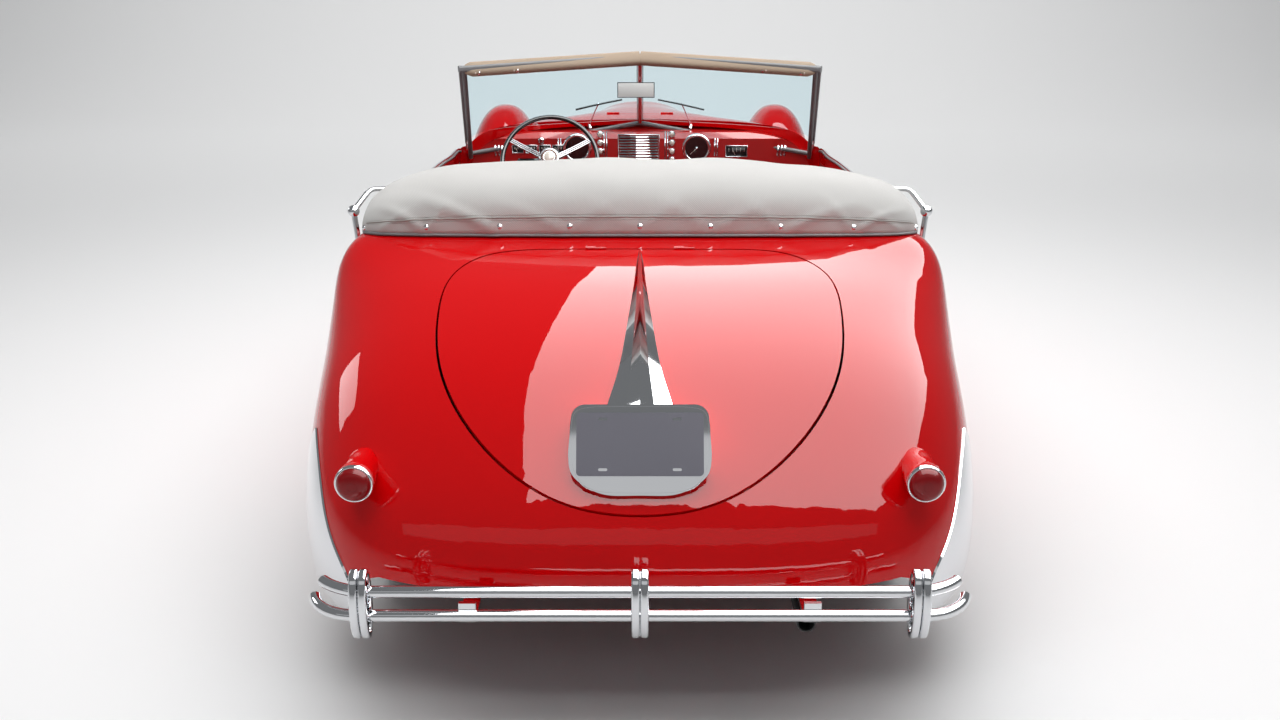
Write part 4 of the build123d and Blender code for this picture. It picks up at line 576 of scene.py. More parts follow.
# %% Seam, stitches, snaps and piping
SEAM_TURN, SEWING = 0.072, 0.013
SNAP_X = (-0.845, -0.64, -0.42, -0.21, 0.0, 0.21, 0.42, 0.64, 0.845)


def square_to_cover(x, low_turn, high_turn):
    """The way the cover faces between two shares of its turn."""
    rise = cover_point(x, high_turn) - cover_point(x, low_turn)
    return Vector((0, -rise.z, rise.y)).normalized()


def cover_line(turn, reach, count, lift):
    """Points and facings along the cover at a share of its turn, a little above its surface."""
    line = []
    for k in range(count + 1):
        x = reach * (2 * k / count - 1)
        out = square_to_cover(x, max(0.0, turn - 0.01), turn + 0.01)
        line.append((cover_point(x, turn) + out * (COVER_THICK + lift), out))
    return line


seam = cover_line(SEAM_TURN, COVER_HALF - 0.03, 150, 0.0003)
welt = tube("cover_seam", [[place for place, _ in seam]], 0.0019, canvas_dark)
stitch = tube("stitch_template", [[(-0.0028, 0, 0), (0, 0, 0.0006), (0.0028, 0, 0)]], 0.0005, thread)
sewn = []
for turn in (SEAM_TURN - SEWING, SEAM_TURN + SEWING):
    line = cover_line(turn, COVER_HALF - 0.035, 210, 0.0002)
    sewn += [(a, out, b - a) for (a, out), (b, _) in zip(line, line[1:])]
stitches = copies("cover_stitches", stitch, sewn, thread)
hem_line = cover_line(0.004, COVER_HALF - 0.002, 160, -COVER_THICK)
piping = tube("cover_piping", [[place - Vector((0, 0.002, 0.006)) for place, _ in hem_line]], 0.0042,
              seal_rubber)
SNAP_PROFILE = [(TIP, 0.0046), (0.0035, 0.0042), (0.0058, 0.0026), (0.0062, 0.0012),
                (0.0082, 0.0012), (0.0086, 0.0)]
snap_places = []
for x in SNAP_X:
    out = square_to_cover(x, 0.012, 0.045)
    snap_places.append((cover_point(x, 0.030) + out * COVER_THICK, out, RIGHTWARDS))
snaps = copies("cover_snaps", template(SNAP_PROFILE, 20), snap_places)
for piece, slot in ((welt, "canvas"), (stitches, "canvas"), (piping, "tyre"), (snaps, "chrome")):
    dress(piece)

# %% The irons' arms run in under the cover's ends
ARM_LINE = ((0.885, -1.146, 1.119), (0.874, -1.12, 1.137), (0.850, -1.105, 1.146), (0.79, -1.10, 1.142))
dress(tube("hood_arm_ends", [mirror(side, ARM_LINE) for side in SIDES], 0.008))

# %% [markdown]
# ## Leather benches
# Each bench is a crowned cushion and a backrest with upright sewn channels. They are modelled
# so: the channels are a wave across the width, and the ends and edges round off.

# %% Padded slabs
def padded_slab(name, half, path, thick, channels, crown):
    """A pad that follows a path of (y, z) points, with sewn channels along it."""
    spine = [Vector((0, y, z)) for y, z in path]
    lengths = running_lengths(spine)

    def at(share):
        reach = share * lengths[-1]
        k = max(i for i in range(len(spine) - 1) if lengths[i] <= reach + 1e-9)
        part = (reach - lengths[k]) / (lengths[k + 1] - lengths[k])
        way = (spine[k + 1] - spine[k]).normalized()
        return spine[k].lerp(spine[k + 1], part), Vector((0, -way.z, way.y))

    def rounded(index, count, edge):
        near = min(1.0, min(index, count - index) / edge)
        return (1 - (1 - near) ** 2) ** 0.5

    columns, steps, channel_depth = 12 * channels, 30, 0.012
    across = [half * (2 * j / columns - 1) for j in range(columns + 1)]
    top, under = [], []
    for i in range(steps + 1):
        place, normal = at(i / steps)
        row = []
        for j, x in enumerate(across):
            wave = abs(sin(pi * channels * j / columns)) ** 0.55
            soft = 0.004 * noise.noise(Vector((x * 5, i * 0.3, 3.1)))
            bulge = crown * (1 - (2 * i / steps - 1) ** 2) * (1 - 0.6 * (x / half) ** 2)
            ends = rounded(i, steps, 5) * rounded(j, columns, 7)
            height = (thick + channel_depth * wave + bulge + soft) * ends
            row.append(place + Vector((x, 0, 0)) + normal * height)
        top.append(row)
        under.append([Vector((x, place.y, place.z)) for x in across])
    whole = joined(name, [grid_piece(name, top, leather), grid_piece(name + "_under", under, leather)])
    mended(whole.data, 2e-4)
    return dress(whole)

# %% Benches
def bench(name, split, lean, cushion_thick, back_thick, channels):
    """A cushion and a back that fill the box of a CAD bench; split is the height where they meet."""
    low, high = corners(name)
    half = high.x - 0.004
    seat = padded_slab(name + "_cushion", half, [
        (high.y - 0.012, low.z + 0.02), (high.y - 0.004, split - 0.07),
        (high.y - 0.05, split - 0.035), (low.y + lean, split - 0.05)], cushion_thick, channels, 0.018)
    rest = padded_slab(name + "_back", half, [
        (low.y + lean - 0.01, split - 0.07), (low.y + 0.06, high.z - 0.02),
        (low.y + 0.005, high.z - 0.03), (low.y + lean * 0.55, low.z + 0.03)], back_thick, channels, 0.012)
    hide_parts(name)


bench("front_bench", 0.60, 0.20, 0.035, 0.03, 14)
bench("rear_bench", 0.74, 0.16, 0.03, 0.026, 12)

# %% [markdown]
# ## Dashboard
# The dash is painted like the body. It carries two black dials in bright bezels, a slatted speaker
# grille between two rows of ivory knobs, four small gauges, a clock, and bright strips and bars.
# Places are measured from the dash's face and the CAD dials.

# %% Dials
FACE_Y = corners("dashboard")[0].y
dials_low, dials_high = corners("dash_dials")
DIAL_Z = (dials_low.z + dials_high.z) / 2
DIAL_R = (dials_high.z - dials_low.z) / 2
DIAL_START, DIAL_SWEEP = -135, 270
TICKS, NUMERALS, TICKS_PER_NUMERAL = 40, 8, 5
MARK_EDGE = 0.0003
BEZEL_PROFILE = [(-0.007, 0), (-0.007, 0.005), (-0.002, 0.009), (0.005, 0.009), (0.009, 0.004), (0.010, 0)]


def on_dash(name, size, x, z, out, edge, material=chrome, turn=None):
    """A bar that stands a little out from the dash's face."""
    return bar(name, size, (x, FACE_Y - out, z), material, edge, turn)

# %% A dial
def dial_parts(x, needle_angle):
    """One dial; its numerals stand upright, and its other marks turn with their angle."""
    centre = Vector((x, FACE_Y, DIAL_Z))
    inner = [(DIAL_R * 0.56, 0.0032), (DIAL_R * 0.575, 0.0042), (DIAL_R * 0.60, 0.0032)]
    parts = [
        turned("bezel", BEZEL_PROFILE, centre, BACKWARDS, 56, add=(DIAL_R, 0)),
        turned("dial_ring", inner, centre, BACKWARDS, 48),
        turned("dial_face", [(TIP, 0.0022), (DIAL_R - 0.007, 0.0024)], centre, BACKWARDS, 48, dial_black),
        turned("dial_boss", [(TIP, 0.012), (0.006, 0.010), (0.008, 0.004)], centre, BACKWARDS, 20)]

    def mark(name, angle, size, radius, out, edge=MARK_EDGE, turn=True):
        aim = Matrix.Rotation(radians(angle), 4, "Y")
        spot = centre + aim @ Vector((0, 0, radius)) + Vector((0, -out, 0))
        return bar(name, size, spot, dial_white, edge, aim if turn else None)

    for k in range(TICKS + 1):
        bold = k % TICKS_PER_NUMERAL == 0
        wide, long = (0.0022, 0.0085) if bold else (0.0012, 0.0045)
        parts.append(mark("tick", DIAL_START + k * DIAL_SWEEP / TICKS, (wide, 0.001, long),
                          DIAL_R * 0.84 - long / 2, 0.0035))
    for k in range(NUMERALS + 1):
        parts.append(mark("numeral", DIAL_START + k * DIAL_SWEEP / NUMERALS, (0.0035, 0.001, 0.0065),
                          DIAL_R * 0.67, 0.0034, turn=False))
    length = DIAL_R * 0.78
    parts.append(mark("needle", needle_angle, (0.0022, 0.0012, length), length * 0.4, 0.008, 0.0004))
    return parts


dials = dial_parts(dials_low.x + DIAL_R, -128) + dial_parts(dials_high.x - DIAL_R, -133)
assembly("dial_details", dials)

# %% Speaker grille
GRILLE_X, GRILLE_Z = -0.006, 1.036
GRILLE_HALF_X, GRILLE_HALF_Z = 0.094, 0.060
SLATS, SLAT_MARGIN = 9, 0.010
pan_size = (2 * GRILLE_HALF_X, 0.003, 2 * GRILLE_HALF_Z)
grille = [on_dash("grille_pan", pan_size, GRILLE_X, GRILLE_Z, 0.001, 0.002, dash_enamel)]
slat_turn = Matrix.Rotation(radians(20), 4, "X")
for k in range(SLATS):
    z = GRILLE_Z - GRILLE_HALF_Z + SLAT_MARGIN + k * 2 * (GRILLE_HALF_Z - SLAT_MARGIN) / (SLATS - 1)
    grille.append(on_dash("slat", (2 * GRILLE_HALF_X - 0.008, 0.010, 0.0062), GRILLE_X, z, 0.006, 0.0025,
                          turn=slat_turn))
grille.append(rim("grille_rim", GRILLE_X - GRILLE_HALF_X, GRILLE_X + GRILLE_HALF_X,
                  GRILLE_Z - GRILLE_HALF_Z, GRILLE_Z + GRILLE_HALF_Z, FACE_Y - 0.004, 0.0042))
assembly("speaker_grille", grille)

# %% Knobs
KNOB_TOP_Z, KNOB_STEP = DIAL_Z + 0.064, 0.039
SWITCH_X = -0.457
KNOB_PROFILE = [(TIP, 0.021), (0.007, 0.0205), (0.0105, 0.017), (0.011, 0.012), (0.007, 0.006), (0.006, 0.0)]
COLLAR_PROFILE = [(0.0075, 0.0075), (0.013, 0.006), (0.015, 0.003), (0.0155, 0.0)]
knob_spots = [((x, FACE_Y, KNOB_TOP_Z - KNOB_STEP * k), BACKWARDS, RIGHTWARDS)
              for x, count in ((-0.184, 3), (0.148, 4)) for k in range(count)]
dress(copies("dash_knobs", template(KNOB_PROFILE, 24, knob_ivory), knob_spots, knob_ivory))
collar_spots = knob_spots + [((SWITCH_X, FACE_Y, DIAL_Z + 0.034), BACKWARDS, RIGHTWARDS)]
dress(copies("knob_collars", template(COLLAR_PROFILE, 24), collar_spots))

# %% Strips and bars
trims = []
for x, length in ((-0.160, 0.150), (0.122, 0.150), (-0.372, 0.085), (0.352, 0.085)):
    for shift in (-0.006, 0.006):
        trims.append(on_dash("strip", (0.005, 0.006, length), x + shift, DIAL_Z + 0.004, 0.002, 0.002))
for side in SIDES:
    for k in (-1, 0, 1):
        x = side * 0.655 + k * 0.016
        trims.append(on_dash("side_bar", (0.010, 0.007, 0.052), x, DIAL_Z - 0.012, 0.002, 0.003))
trims.append(on_dash("dash_lip", (1.36, 0.006, 0.006), 0, DIAL_Z - 0.105, 0.002, 0.0025))
trims.append(on_dash("cove", (0.16, 0.012, 0.05), -0.49, DIAL_Z - 0.072, 0.001, 0.006, black_gloss))
trims.append(on_dash("switch", (0.010, 0.022, 0.022), SWITCH_X, DIAL_Z - 0.032, 0.010, 0.003))
assembly("dash_trims", trims)

# %% Small gauges and the clock
GAUGES = [(-0.565 + 0.062 * k, DIAL_Z - 0.004, 0.052, 0.036, 3, 0.010) for k in range(4)]
CLOCK = (0.447, DIAL_Z - 0.014, 0.100, 0.050, 5, 0.018)
gauge_turn = Matrix.Rotation(radians(-24), 4, "Y")
gauges = []
for x, z, width, height, marks, mark_height in GAUGES + [CLOCK]:
    gauges.append(rim("gauge_rim", x - width / 2, x + width / 2, z - height / 2, z + height / 2,
                      FACE_Y - 0.003, 0.0028))
    gauges.append(on_dash("gauge_face", (width, 0.003, height), x, z, 0.001, 0.001, dial_black))
    for k in range(marks):
        mark_x = x + (k - (marks - 1) / 2) * width / (marks + 0.6)
        gauges.append(on_dash("gauge_mark", (0.0022, 0.001, mark_height), mark_x, z + height * 0.12, 0.0032,
                              MARK_EDGE, dial_white))
    gauges.append(on_dash("gauge_needle", (0.0018, 0.001, height * 0.6), x - width * 0.12, z - height * 0.1,
                          0.0042, MARK_EDGE, knob_ivory, gauge_turn))
assembly("dash_gauges", gauges)

# %% [markdown]
# ## Steering wheel
# The rim stays the CAD piece. Bright twin wires run along its three spokes, and the hub gets a
# bright ring, a brown one and a pale horn button.

# %% Spokes and hub
WHEEL_TILT = radians(30)
wheel_low, wheel_high = corners("steering_wheel")
WHEEL_R = (wheel_high.x - wheel_low.x) / 2
TOWARDS = Vector((0, -cos(WHEEL_TILT), sin(WHEEL_TILT)))
DOWN = Vector((0, -sin(WHEEL_TILT), -cos(WHEEL_TILT)))
wheel_centre = Vector(((wheel_low.x + wheel_high.x) / 2, 0.300, 1.030))
SPOKE_LINE = ((0.034, 0.012), (0.09, 0.0035), (0.15, -0.001), (WHEEL_R - 0.012, -0.002))
spokes = []
for k in range(3):
    angle = radians(90 + 120 * k)
    way = Vector((1, 0, 0)) * cos(angle) + DOWN * sin(angle)
    beside = way.cross(TOWARDS)
    for shift in (-0.0075, 0.0, 0.0075):
        spokes.append([wheel_centre + way * reach + beside * shift + TOWARDS * lift
                       for reach, lift in SPOKE_LINE])
hub = [tube("spoke_wires", spokes, 0.0026)]
for name, profile, material in (
        ("hub_bell", [(0.0425, 0.02), (0.044, 0.046), (0.040, 0.0535), (0.036, 0.0535)], chrome),
        ("hub_ring", [(0.0365, 0.0505), (0.034, 0.0560), (0.027, 0.0575), (0.0255, 0.0560)], brown_plastic),
        ("hub_bead", [(0.0258, 0.0560), (0.0245, 0.0585), (0.0225, 0.0570)], chrome),
        ("horn_button", [(0.0232, 0.0560), (0.020, 0.0600), (0.012, 0.0625), (TIP, 0.0632)], knob_ivory)):
    hub.append(turned(name, profile, wheel_centre, TOWARDS, 48, material))
assembly("steering_hub", hub, body="steering_wheel")

# %% [markdown]
# ## Windscreen dressing
# The frame's top carries a padded header in tan cloth, with four latches for the hood. Grey rubber
# lies along the foot of the glass and up the posts, and two wipers rest outside. Each line is given
# for the right side and mirrored for the left.

# %% Header
HEAD_MIDDLE, HEAD_END = Vector((0, 0.489, 1.459)), Vector((0.752, 0.286, 1.4235))
FOOT_MIDDLE, FOOT_END = Vector((0, 0.838, 1.128)), Vector((0.792, 0.706, 1.000))
GLASS_OUT = Vector((0.231, 0.669, 0.705))
GLASS_UP = (HEAD_MIDDLE - FOOT_MIDDLE).normalized()
HEADER_WIDE, HEADER_HIGH = 0.0335, 0.0185
HEADER_STEPS, RING_STEPS = 40, 24


def squared(value, power):
    """A sine or cosine drawn towards its ends, which squares a ring off."""
    return (1 if value > 0 else -1) * abs(value) ** power


def header_rows(side):
    """Rings of points round the header's half, with a little unevenness in the cloth."""
    mirrored = Vector((side, 1, 1))
    outward = GLASS_OUT * mirrored
    rows = []
    for k in range(HEADER_STEPS + 1):
        share = k / HEADER_STEPS
        place = HEAD_MIDDLE.lerp(HEAD_END, share) * mirrored
        fade = min(1.0, (HEADER_STEPS - k) / 2.0 + 0.25)
        ring = []
        for j in range(RING_STEPS + 1):
            angle = 2 * pi * j / RING_STEPS
            uneven = 0.0006 * noise.noise(Vector((share * 30 * side, j * 0.4, 1)))
            wide = HEADER_WIDE * fade * squared(cos(angle), 0.6) - 0.006
            high = HEADER_HIGH * fade * squared(sin(angle), 0.7) - 0.002
            ring.append(place + outward * wide + GLASS_UP * high + Vector((0, 0, uneven)))
        rows.append(ring)
    return rows


header = joined("header_cloth", [grid_piece("header_half", header_rows(side), tan_cloth) for side in SIDES])
mended(header.data, 3e-4)
dress(header)

# %% Seals, latches and wipers
SEAL_STEPS = 8
PIVOT_PROFILE = [(TIP, 0.022), (0.006, 0.020), (0.009, 0.010), (0.011, 0.0), (0.011, -0.02)]
seals, beads, latches, wipers = [], [], [], []
for side in SIDES:
    mirrored = Vector((side, 1, 1))
    outward = GLASS_OUT * mirrored
    shares = [k / SEAL_STEPS for k in range(SEAL_STEPS + 1)]
    foot_line = [FOOT_MIDDLE.lerp(FOOT_END, share) * mirrored for share in shares]
    post_line = [FOOT_END.lerp(HEAD_END, share) * mirrored for share in shares]
    seals.append([place - outward * 0.006 + GLASS_UP * 0.020 for place in foot_line])
    seals.append([place - outward * 0.012 - Vector((side * 0.006, 0, 0)) for place in post_line])
    beads.append([place + outward * 0.012 + Vector((side * 0.007, 0, 0)) for place in post_line])

    turn = Matrix.Rotation(radians(side * 19), 4, "Z")
    for share in (0.72, 0.93):
        place = (HEAD_MIDDLE.lerp(HEAD_END, share) - GLASS_OUT * 0.030) * mirrored
        hook = place + Vector((0, -0.006, 0.001))
        latches.append(bar("latch_plate", (0.040, 0.004, 0.018), place, chrome, 0.0018, turn))
        latches.append(bar("latch_hook", (0.012, 0.012, 0.012), hook, knob_ivory, 0.003))

    lift = outward * 0.020
    tip = Vector((0.290, 0.679, 1.197)) * mirrored + lift
    tail = Vector((0.078, 0.707, 1.240)) * mirrored + lift
    pivot = Vector((0.235, 0.800, 1.116)) * mirrored + lift * 0.6
    middle = tip.lerp(tail, 0.5)
    blade = [tip, tip.lerp(middle, 0.5) + GLASS_UP * 0.002, middle + GLASS_UP * 0.003,
             middle.lerp(tail, 0.5) + GLASS_UP * 0.002, tail]
    wipers.append(tube("wiper_blade", [blade], 0.0045, black_gloss))
    arm = [pivot, pivot.lerp(middle, 0.5) + lift * 0.5, middle + lift * 0.35]
    wipers.append(tube("wiper_arm", [arm], 0.0028))
    wipers.append(turned("wiper_pivot", PIVOT_PROFILE, pivot, outward, 20))
dress(tube("screen_seals", seals, 0.0105, seal_rubber))
dress(tube("post_beads", beads, 0.004))
centre_line = [FOOT_MIDDLE + Vector((0, -0.014, 0.004)), HEAD_MIDDLE + Vector((0, -0.012, -0.012))]
dress(tube("centre_bar", [centre_line], 0.0085, dash_enamel))
assembly("header_latches", latches)
assembly("wipers", wipers)

# %% Mirror rim
MIRROR_GLASS_TALL = 0.064
mirror_low, mirror_high = corners("mirror")
dress(rim("mirror_rim", mirror_low.x, mirror_high.x, mirror_low.z, mirror_low.z + MIRROR_GLASS_TALL,
          mirror_low.y + 0.001, 0.0026, black_gloss))

# %% [markdown]
# ## Doors, tail and wheels
# Rails run along the door tops over a grey seal, and the doors have pleated cards, pulls and outside
# handles. The tail gets the plate box's rim and screws and the lamps' rings. The wheels get bright
# caps and beads, and the tyres their ribs.

# %% Door cards
CARD_X, CARD_HALF_Y, CARD_LOW_Z, CARD_TALL = 0.8215, 0.600, 0.440, 0.545
CARD_THICK, PLEATS, PLEAT_DEPTH, CORNER_CUT = 0.0045, 20, 0.0022, 0.14


def card_rows(side):
    """Rows up a door's card; it is pleated in the middle and cut off in its low rear corner."""
    steps, rises, rows = 60, 32, []
    for i in range(rises + 1):
        up = CARD_TALL * i / rises
        row = []
        for j in range(steps + 1):
            along = 2 * CARD_HALF_Y * j / steps
            corner = max(0.0, CORNER_CUT - along) * max(0.0, CORNER_CUT - up) / CORNER_CUT ** 2
            edge = min(1.0, i / 2, (rises - i) / 2, j / 2, (steps - j) / 2)
            pleat = PLEAT_DEPTH * abs(sin(pi * PLEATS * j / steps)) ** 0.6 if 8 < i < 24 else 0.0
            x = CARD_X - (CARD_THICK + pleat) * edge ** 0.5
            row.append(Vector((side * x, along - CARD_HALF_Y, CARD_LOW_Z + up + 0.05 * corner)))
        rows.append(row)
    return rows


# %% Door rails, pulls, winders and handles
RAIL_STEPS = 24
PULL_LINE = ((0.815, 0.30, 0.80), (0.795, 0.30, 0.80), (0.792, 0.34, 0.795), (0.792, 0.40, 0.79))
CRANK_LINE = ((0.795, 0.05, 0.70), (0.792, 0.02, 0.655), (0.790, 0.0, 0.63))
HANDLE_OUT = 0.026
HANDLE_LINE = ((-0.004, 0, 0), (HANDLE_OUT, 0, 0), (HANDLE_OUT, 0.03, 0), (HANDLE_OUT, 0.09, -0.002),
               (HANDLE_OUT * 0.8, 0.125, -0.006))
BOSS_PROFILE = [(TIP, 0.026), (0.010, 0.024), (0.018, 0.010), (0.020, 0.0)]
HANDLE_PLATE = [(TIP, 0.006), (0.012, 0.005), (0.017, 0.002), (0.018, -0.004)]
for side, label in ((-1, "left"), (1, "right")):
    door = f"door_{label}"
    dress(grid_piece(f"door_card_{label}", card_rows(side), leather), door)
    tops = [surface_at(door, (side * 0.830, -0.605 + 1.235 * k / RAIL_STEPS, 2), (0, 0, -1))
            for k in range(RAIL_STEPS + 1)]
    skin = surface_at(door, (side * 2, -0.49, 0.862), (-side, 0, 0))
    assembly(f"door_trim_{label}", [
        tube("door_rail", [[top + Vector((side * 0.001, 0, 0.003)) for top in tops]], 0.0068, satin_chrome),
        tube("door_seal", [[top + Vector((-side * 0.0095, 0, 0.001)) for top in tops]], 0.0050, seal_rubber),
        tube("door_pull", [mirror(side, PULL_LINE)], 0.0055),
        turned("winder_boss", BOSS_PROFILE, (side * 0.816, 0.05, 0.70), (-side, 0, 0), 24),
        tube("winder_crank", [mirror(side, CRANK_LINE)], 0.004),
        tube("door_handle", [[skin + step for step in mirror(side, HANDLE_LINE)]], 0.0075),
        turned("handle_plate", HANDLE_PLATE, skin, (side, 0, 0), 28)], body=door)

# %% Plate box
FACE_LEAN = radians(25)
FACE_OUT = Vector((0, -cos(FACE_LEAN), sin(FACE_LEAN)))
FACE_UP = Vector((0, sin(FACE_LEAN), cos(FACE_LEAN)))
box_low = corners("plate_housing")[0]
face_foot = Vector((0, box_low.y, box_low.z)) + FACE_UP * 0.0086
SCREWS = ((-0.145, 0.200), (0.145, 0.200), (-0.126, 0.020), (0.126, 0.020), (0.0, 0.012))
RIM_RIGHT = [(0.120, 0.006), (0.160, 0.050), (0.166, 0.110), (0.166, 0.190), (0.140, 0.212)]
RIM_TOP, RIM_FOOT = (0.0, 0.2125), (0.0, 0.004)
SCREW_R = 0.0062


def on_face(x, up):
    return face_foot + Vector((x, 0, 0)) + FACE_UP * up


screw_profile = [(TIP, SCREW_R * 0.5), (SCREW_R * 0.5, SCREW_R * 0.45),
                 (SCREW_R * 0.85, SCREW_R * 0.25), (SCREW_R, 0.0)]
screw_spots = [(on_face(x, up), FACE_OUT, RIGHTWARDS) for x, up in SCREWS]
dress(copies("plate_box_screws", template(screw_profile, 14), screw_spots), body="boot_lid")
rim_line = [*RIM_RIGHT, RIM_TOP, *[(-x, up) for x, up in reversed(RIM_RIGHT)], RIM_FOOT]
box_rim = tube("plate_box_rim", [[on_face(x, up) for x, up in rim_line]], 0.0032, closed=True)
dress(box_rim, body="boot_lid")

# %% Tail lamps
lens_low, lens_high = corners("tail_lamp_lenses")
lens_r = (lens_high.z - lens_low.z) / 2
LENS_BULGE = 0.026
LENS_RIB = ((-0.05, -0.001), (0, 0.0016), (0.05, -0.0025))
RING_PROFILE = [(-0.002, 0.001), (-0.001, 0.007), (0.003, 0.008), (0.0055, 0.004), (0.006, -0.003)]
rings = []
for side in SIDES:
    centre = Vector((side * (lens_high.x - lens_r), lens_high.y, (lens_low.z + lens_high.z) / 2))
    rings.append(turned("lamp_ring", RING_PROFILE, centre, BACKWARDS, 48, add=(lens_r, 0)))
    for share in (0.28, 0.52, 0.74):
        bulge = LENS_BULGE * (1 - share ** 2) ** 0.5
        rib = [(lens_r * (share + step), height) for step, height in LENS_RIB]
        rings.append(turned("lens_rib", rib, centre, BACKWARDS, 40, ruby_lens, (0, bulge)))
assembly("tail_lamp_rings", rings)

# %% Wheel and tyre dressing
# Profiles of (radius, height from the wheel's outer face); the crown of a tyre falls to its sides.
CAP_PROFILE = ((TIP, 0.0035), (0.03, 0.002), (0.07, -0.006), (0.105, -0.022), (0.124, -0.05), (0.13, -0.066))
CREST_PROFILE = ((TIP, 0.006), (0.022, 0.005), (0.030, 0.002), (0.032, -0.002))
BEAD_PROFILE = ((0.186, -0.036), (0.197, -0.020), (0.206, -0.014), (0.2215, -0.011), (0.2235, -0.016))
RIB_PROFILE = ((-0.003, -0.0085), (0.0004, -0.0075), (0.0004, 0.0075), (-0.003, 0.0085))
CROWN_FALL, SHOULDER = 0.0178, 0.018
for label in CAR_CORNERS:
    side = -1 if "left" in label else 1
    low, high = corners(f"wheel_{label}")
    centre = Vector((0, (low.y + high.y) / 2, (low.z + high.z) / 2))
    face = high.x if side > 0 else -low.x
    out = (side, 0, 0)
    assembly(f"wheel_trim_{label}", [
        turned("hub_cap", CAP_PROFILE, centre, out, 64, add=(0, face)),
        turned("hub_crest", CREST_PROFILE, centre, out, 40, dash_enamel, (0, face)),
        turned("rim_bead", BEAD_PROFILE, centre, out, 72, add=(0, face))], body=f"wheel_{label}")

    low, high = corners(f"tyre_{label}")
    tyre_r, half = (high.z - low.z) / 2, (high.x - low.x) / 2
    centre.x = (high.x + low.x) / 2
    ribs = []
    for shift in (-0.044, -0.022, 0.0, 0.022, 0.044):
        crown = tyre_r - CROWN_FALL * (shift / (half - SHOULDER)) ** 2
        ribs.append(turned("tread_rib", RIB_PROFILE, centre, RIGHTWARDS, 96, rubber, (crown, shift)))
    for reach in (0.262, 0.318):
        wall = [(0, half * 0.93), (0.003, half * 0.995), (0.006, half * 0.93)]
        ribs.append(turned("wall_ring", wall, centre, out, 72, rubber, (reach, 0)))
    assembly(f"tyre_ribs_{label}", ribs, f"wheel_{label}")

# %% Bonnet strip
STRIP_STEPS = 20
strip = [surface_at("bonnet", (0, 1.03 + 1.22 * k / STRIP_STEPS, 3), (0, 0, -1)) + Vector((0, 0, 0.001))
         for k in range(STRIP_STEPS + 1)]
dress(tube("bonnet_strip", [strip], 0.005), body="bonnet")

# %% [markdown]
# ## The studio
# A pale floor runs up into a backdrop, so there is no horizon. Its colour falls from near white by
# the car to a light grey far up, which a gradient along Y and Z gives: painted shade, in place of the light
# falling off. It is stage, not car.

# %% Floor and backdrop
FLOOR_FROM_Y, FLOOR_TO_Y, FLOOR_HALF = -16.0, 10.0, 18.0
BEND, BEND_STEPS, WALL_TOP = 7.0, 24, 16.0


def studio_finish():
    material, tree, sockets = new_material("studio_paper", Roughness=0.9, Specular_IOR_Level=0.1)
    # Painted shade: the paper's colour darkens away from the car and up the backdrop, in place of light
    # falling off.
    split = shader_node(tree, "SeparateXYZ", {0: shader_node(tree, "TexCoord")["Object"]})
    far = math_node(tree, "ADD", split["Y"], split["Z"])
    painted_falloff = shader_node(tree, "MapRange", {"Value": far, "From Min": -1.0, "From Max": 20.0},
                       interpolation_type="SMOOTHSTEP")
    link_colour(tree, sockets, painted_falloff["Result"], (0.86, 0.86, 0.86), (0.80, 0.80, 0.80))
    return material


bends = [k * pi / 2 / BEND_STEPS for k in range(1, BEND_STEPS + 1)]
profile = [(FLOOR_FROM_Y, 0.0), (FLOOR_TO_Y, 0.0),
           *[(FLOOR_TO_Y + BEND * sin(bend), BEND - BEND * cos(bend)) for bend in bends],
           (FLOOR_TO_Y + BEND, WALL_TOP)]
points = [(x, y, z) for y, z in profile for x in (-FLOOR_HALF, FLOOR_HALF)]
faces = [(2 * k, 2 * k + 1, 2 * k + 3, 2 * k + 2) for k in range(len(profile) - 1)]
mesh_piece("studio_floor", points, faces, studio_finish())

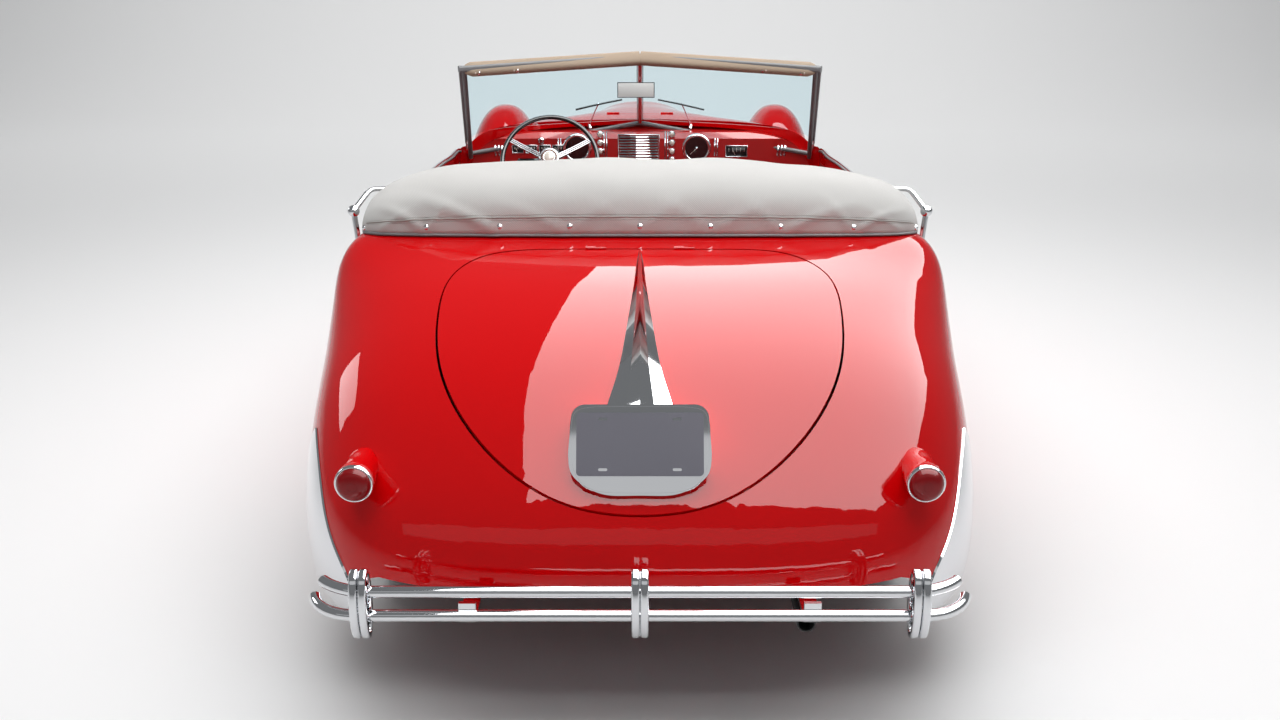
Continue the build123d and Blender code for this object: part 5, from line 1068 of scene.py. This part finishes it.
# %% [markdown]
# ## Light
# A large soft lamp overhead gives shape and the shadow but is kept out of reflections, and one far
# back lights the backdrop. Gloss-only panels are what the enamel and the chrome reflect: a wide one
# whose left edge cuts across the boot lid, a low one behind the car for the plate box, and a small
# one for the highlight on the left shoulder. They light nothing by themselves.

# %% Lamps and world
def panel(name, place, aim, size, power, gloss_only=False, turn=0.0):
    data = bpy.data.lights.new(name, "AREA")
    data.shape = "RECTANGLE"
    data.size, data.size_y = size
    data.energy = power
    lamp = new_object(name, data)
    look = (Vector(aim) - Vector(place)).to_track_quat("-Z", "Y").to_matrix().to_4x4()
    lamp.matrix_world = Matrix.Translation(place) @ look @ Matrix.Rotation(radians(turn), 4, "Z")
    lamp.visible_camera = False
    lamp.visible_glossy = gloss_only
    lamp.visible_diffuse = lamp.visible_transmission = not gloss_only


world = bpy.data.worlds.new("studio_air")
bpy.context.scene.world = world
world.use_nodes = True
air = world.node_tree.nodes["Background"].inputs
air["Color"].default_value = (0.80, 0.82, 0.84, 1)
air["Strength"].default_value = 0.26
panel("overhead_lamp", (0.0, -1.0, 5.0), (0, -1.0, 0), (6.0, 8.0), 375)
panel("far_lamp", (0.0, 10.0, 9.0), (0, 13.0, 0), (18.0, 8.0), 860)
panel("tail_reflection", (3.63, -1.67, 4.8), (3.63, -1.67, 0), (9.0, 10.2), 2000, gloss_only=True, turn=-6.0)
panel("plate_reflection", (0.0, -9.5, 3.9), (0, -2.0, 0.6), (20.0, 1.6), 45, gloss_only=True)
panel("left_reflection", (-5.7, 0.8, 2.84), (-0.8, -1.9, 0.8), (1.9, 1.5), 40, gloss_only=True)

# %% [markdown]
# ## Camera
# It stands behind the car, a little above the folded hood, and looks down at the tail.

# %% Camera
CAMERA_PLACE, CAMERA_PITCH, CAMERA_LENS = (0, -5.112, 1.804), 17.165, 35.137
camera_data = bpy.data.cameras.new("view_from_behind")
camera_data.lens = CAMERA_LENS
camera = new_object("view_from_behind", camera_data)
camera.location = CAMERA_PLACE
camera.rotation_euler = (radians(90 - CAMERA_PITCH), 0, 0)
bpy.context.scene.camera = camera
bpy.context.scene.view_settings.view_transform = "Standard"
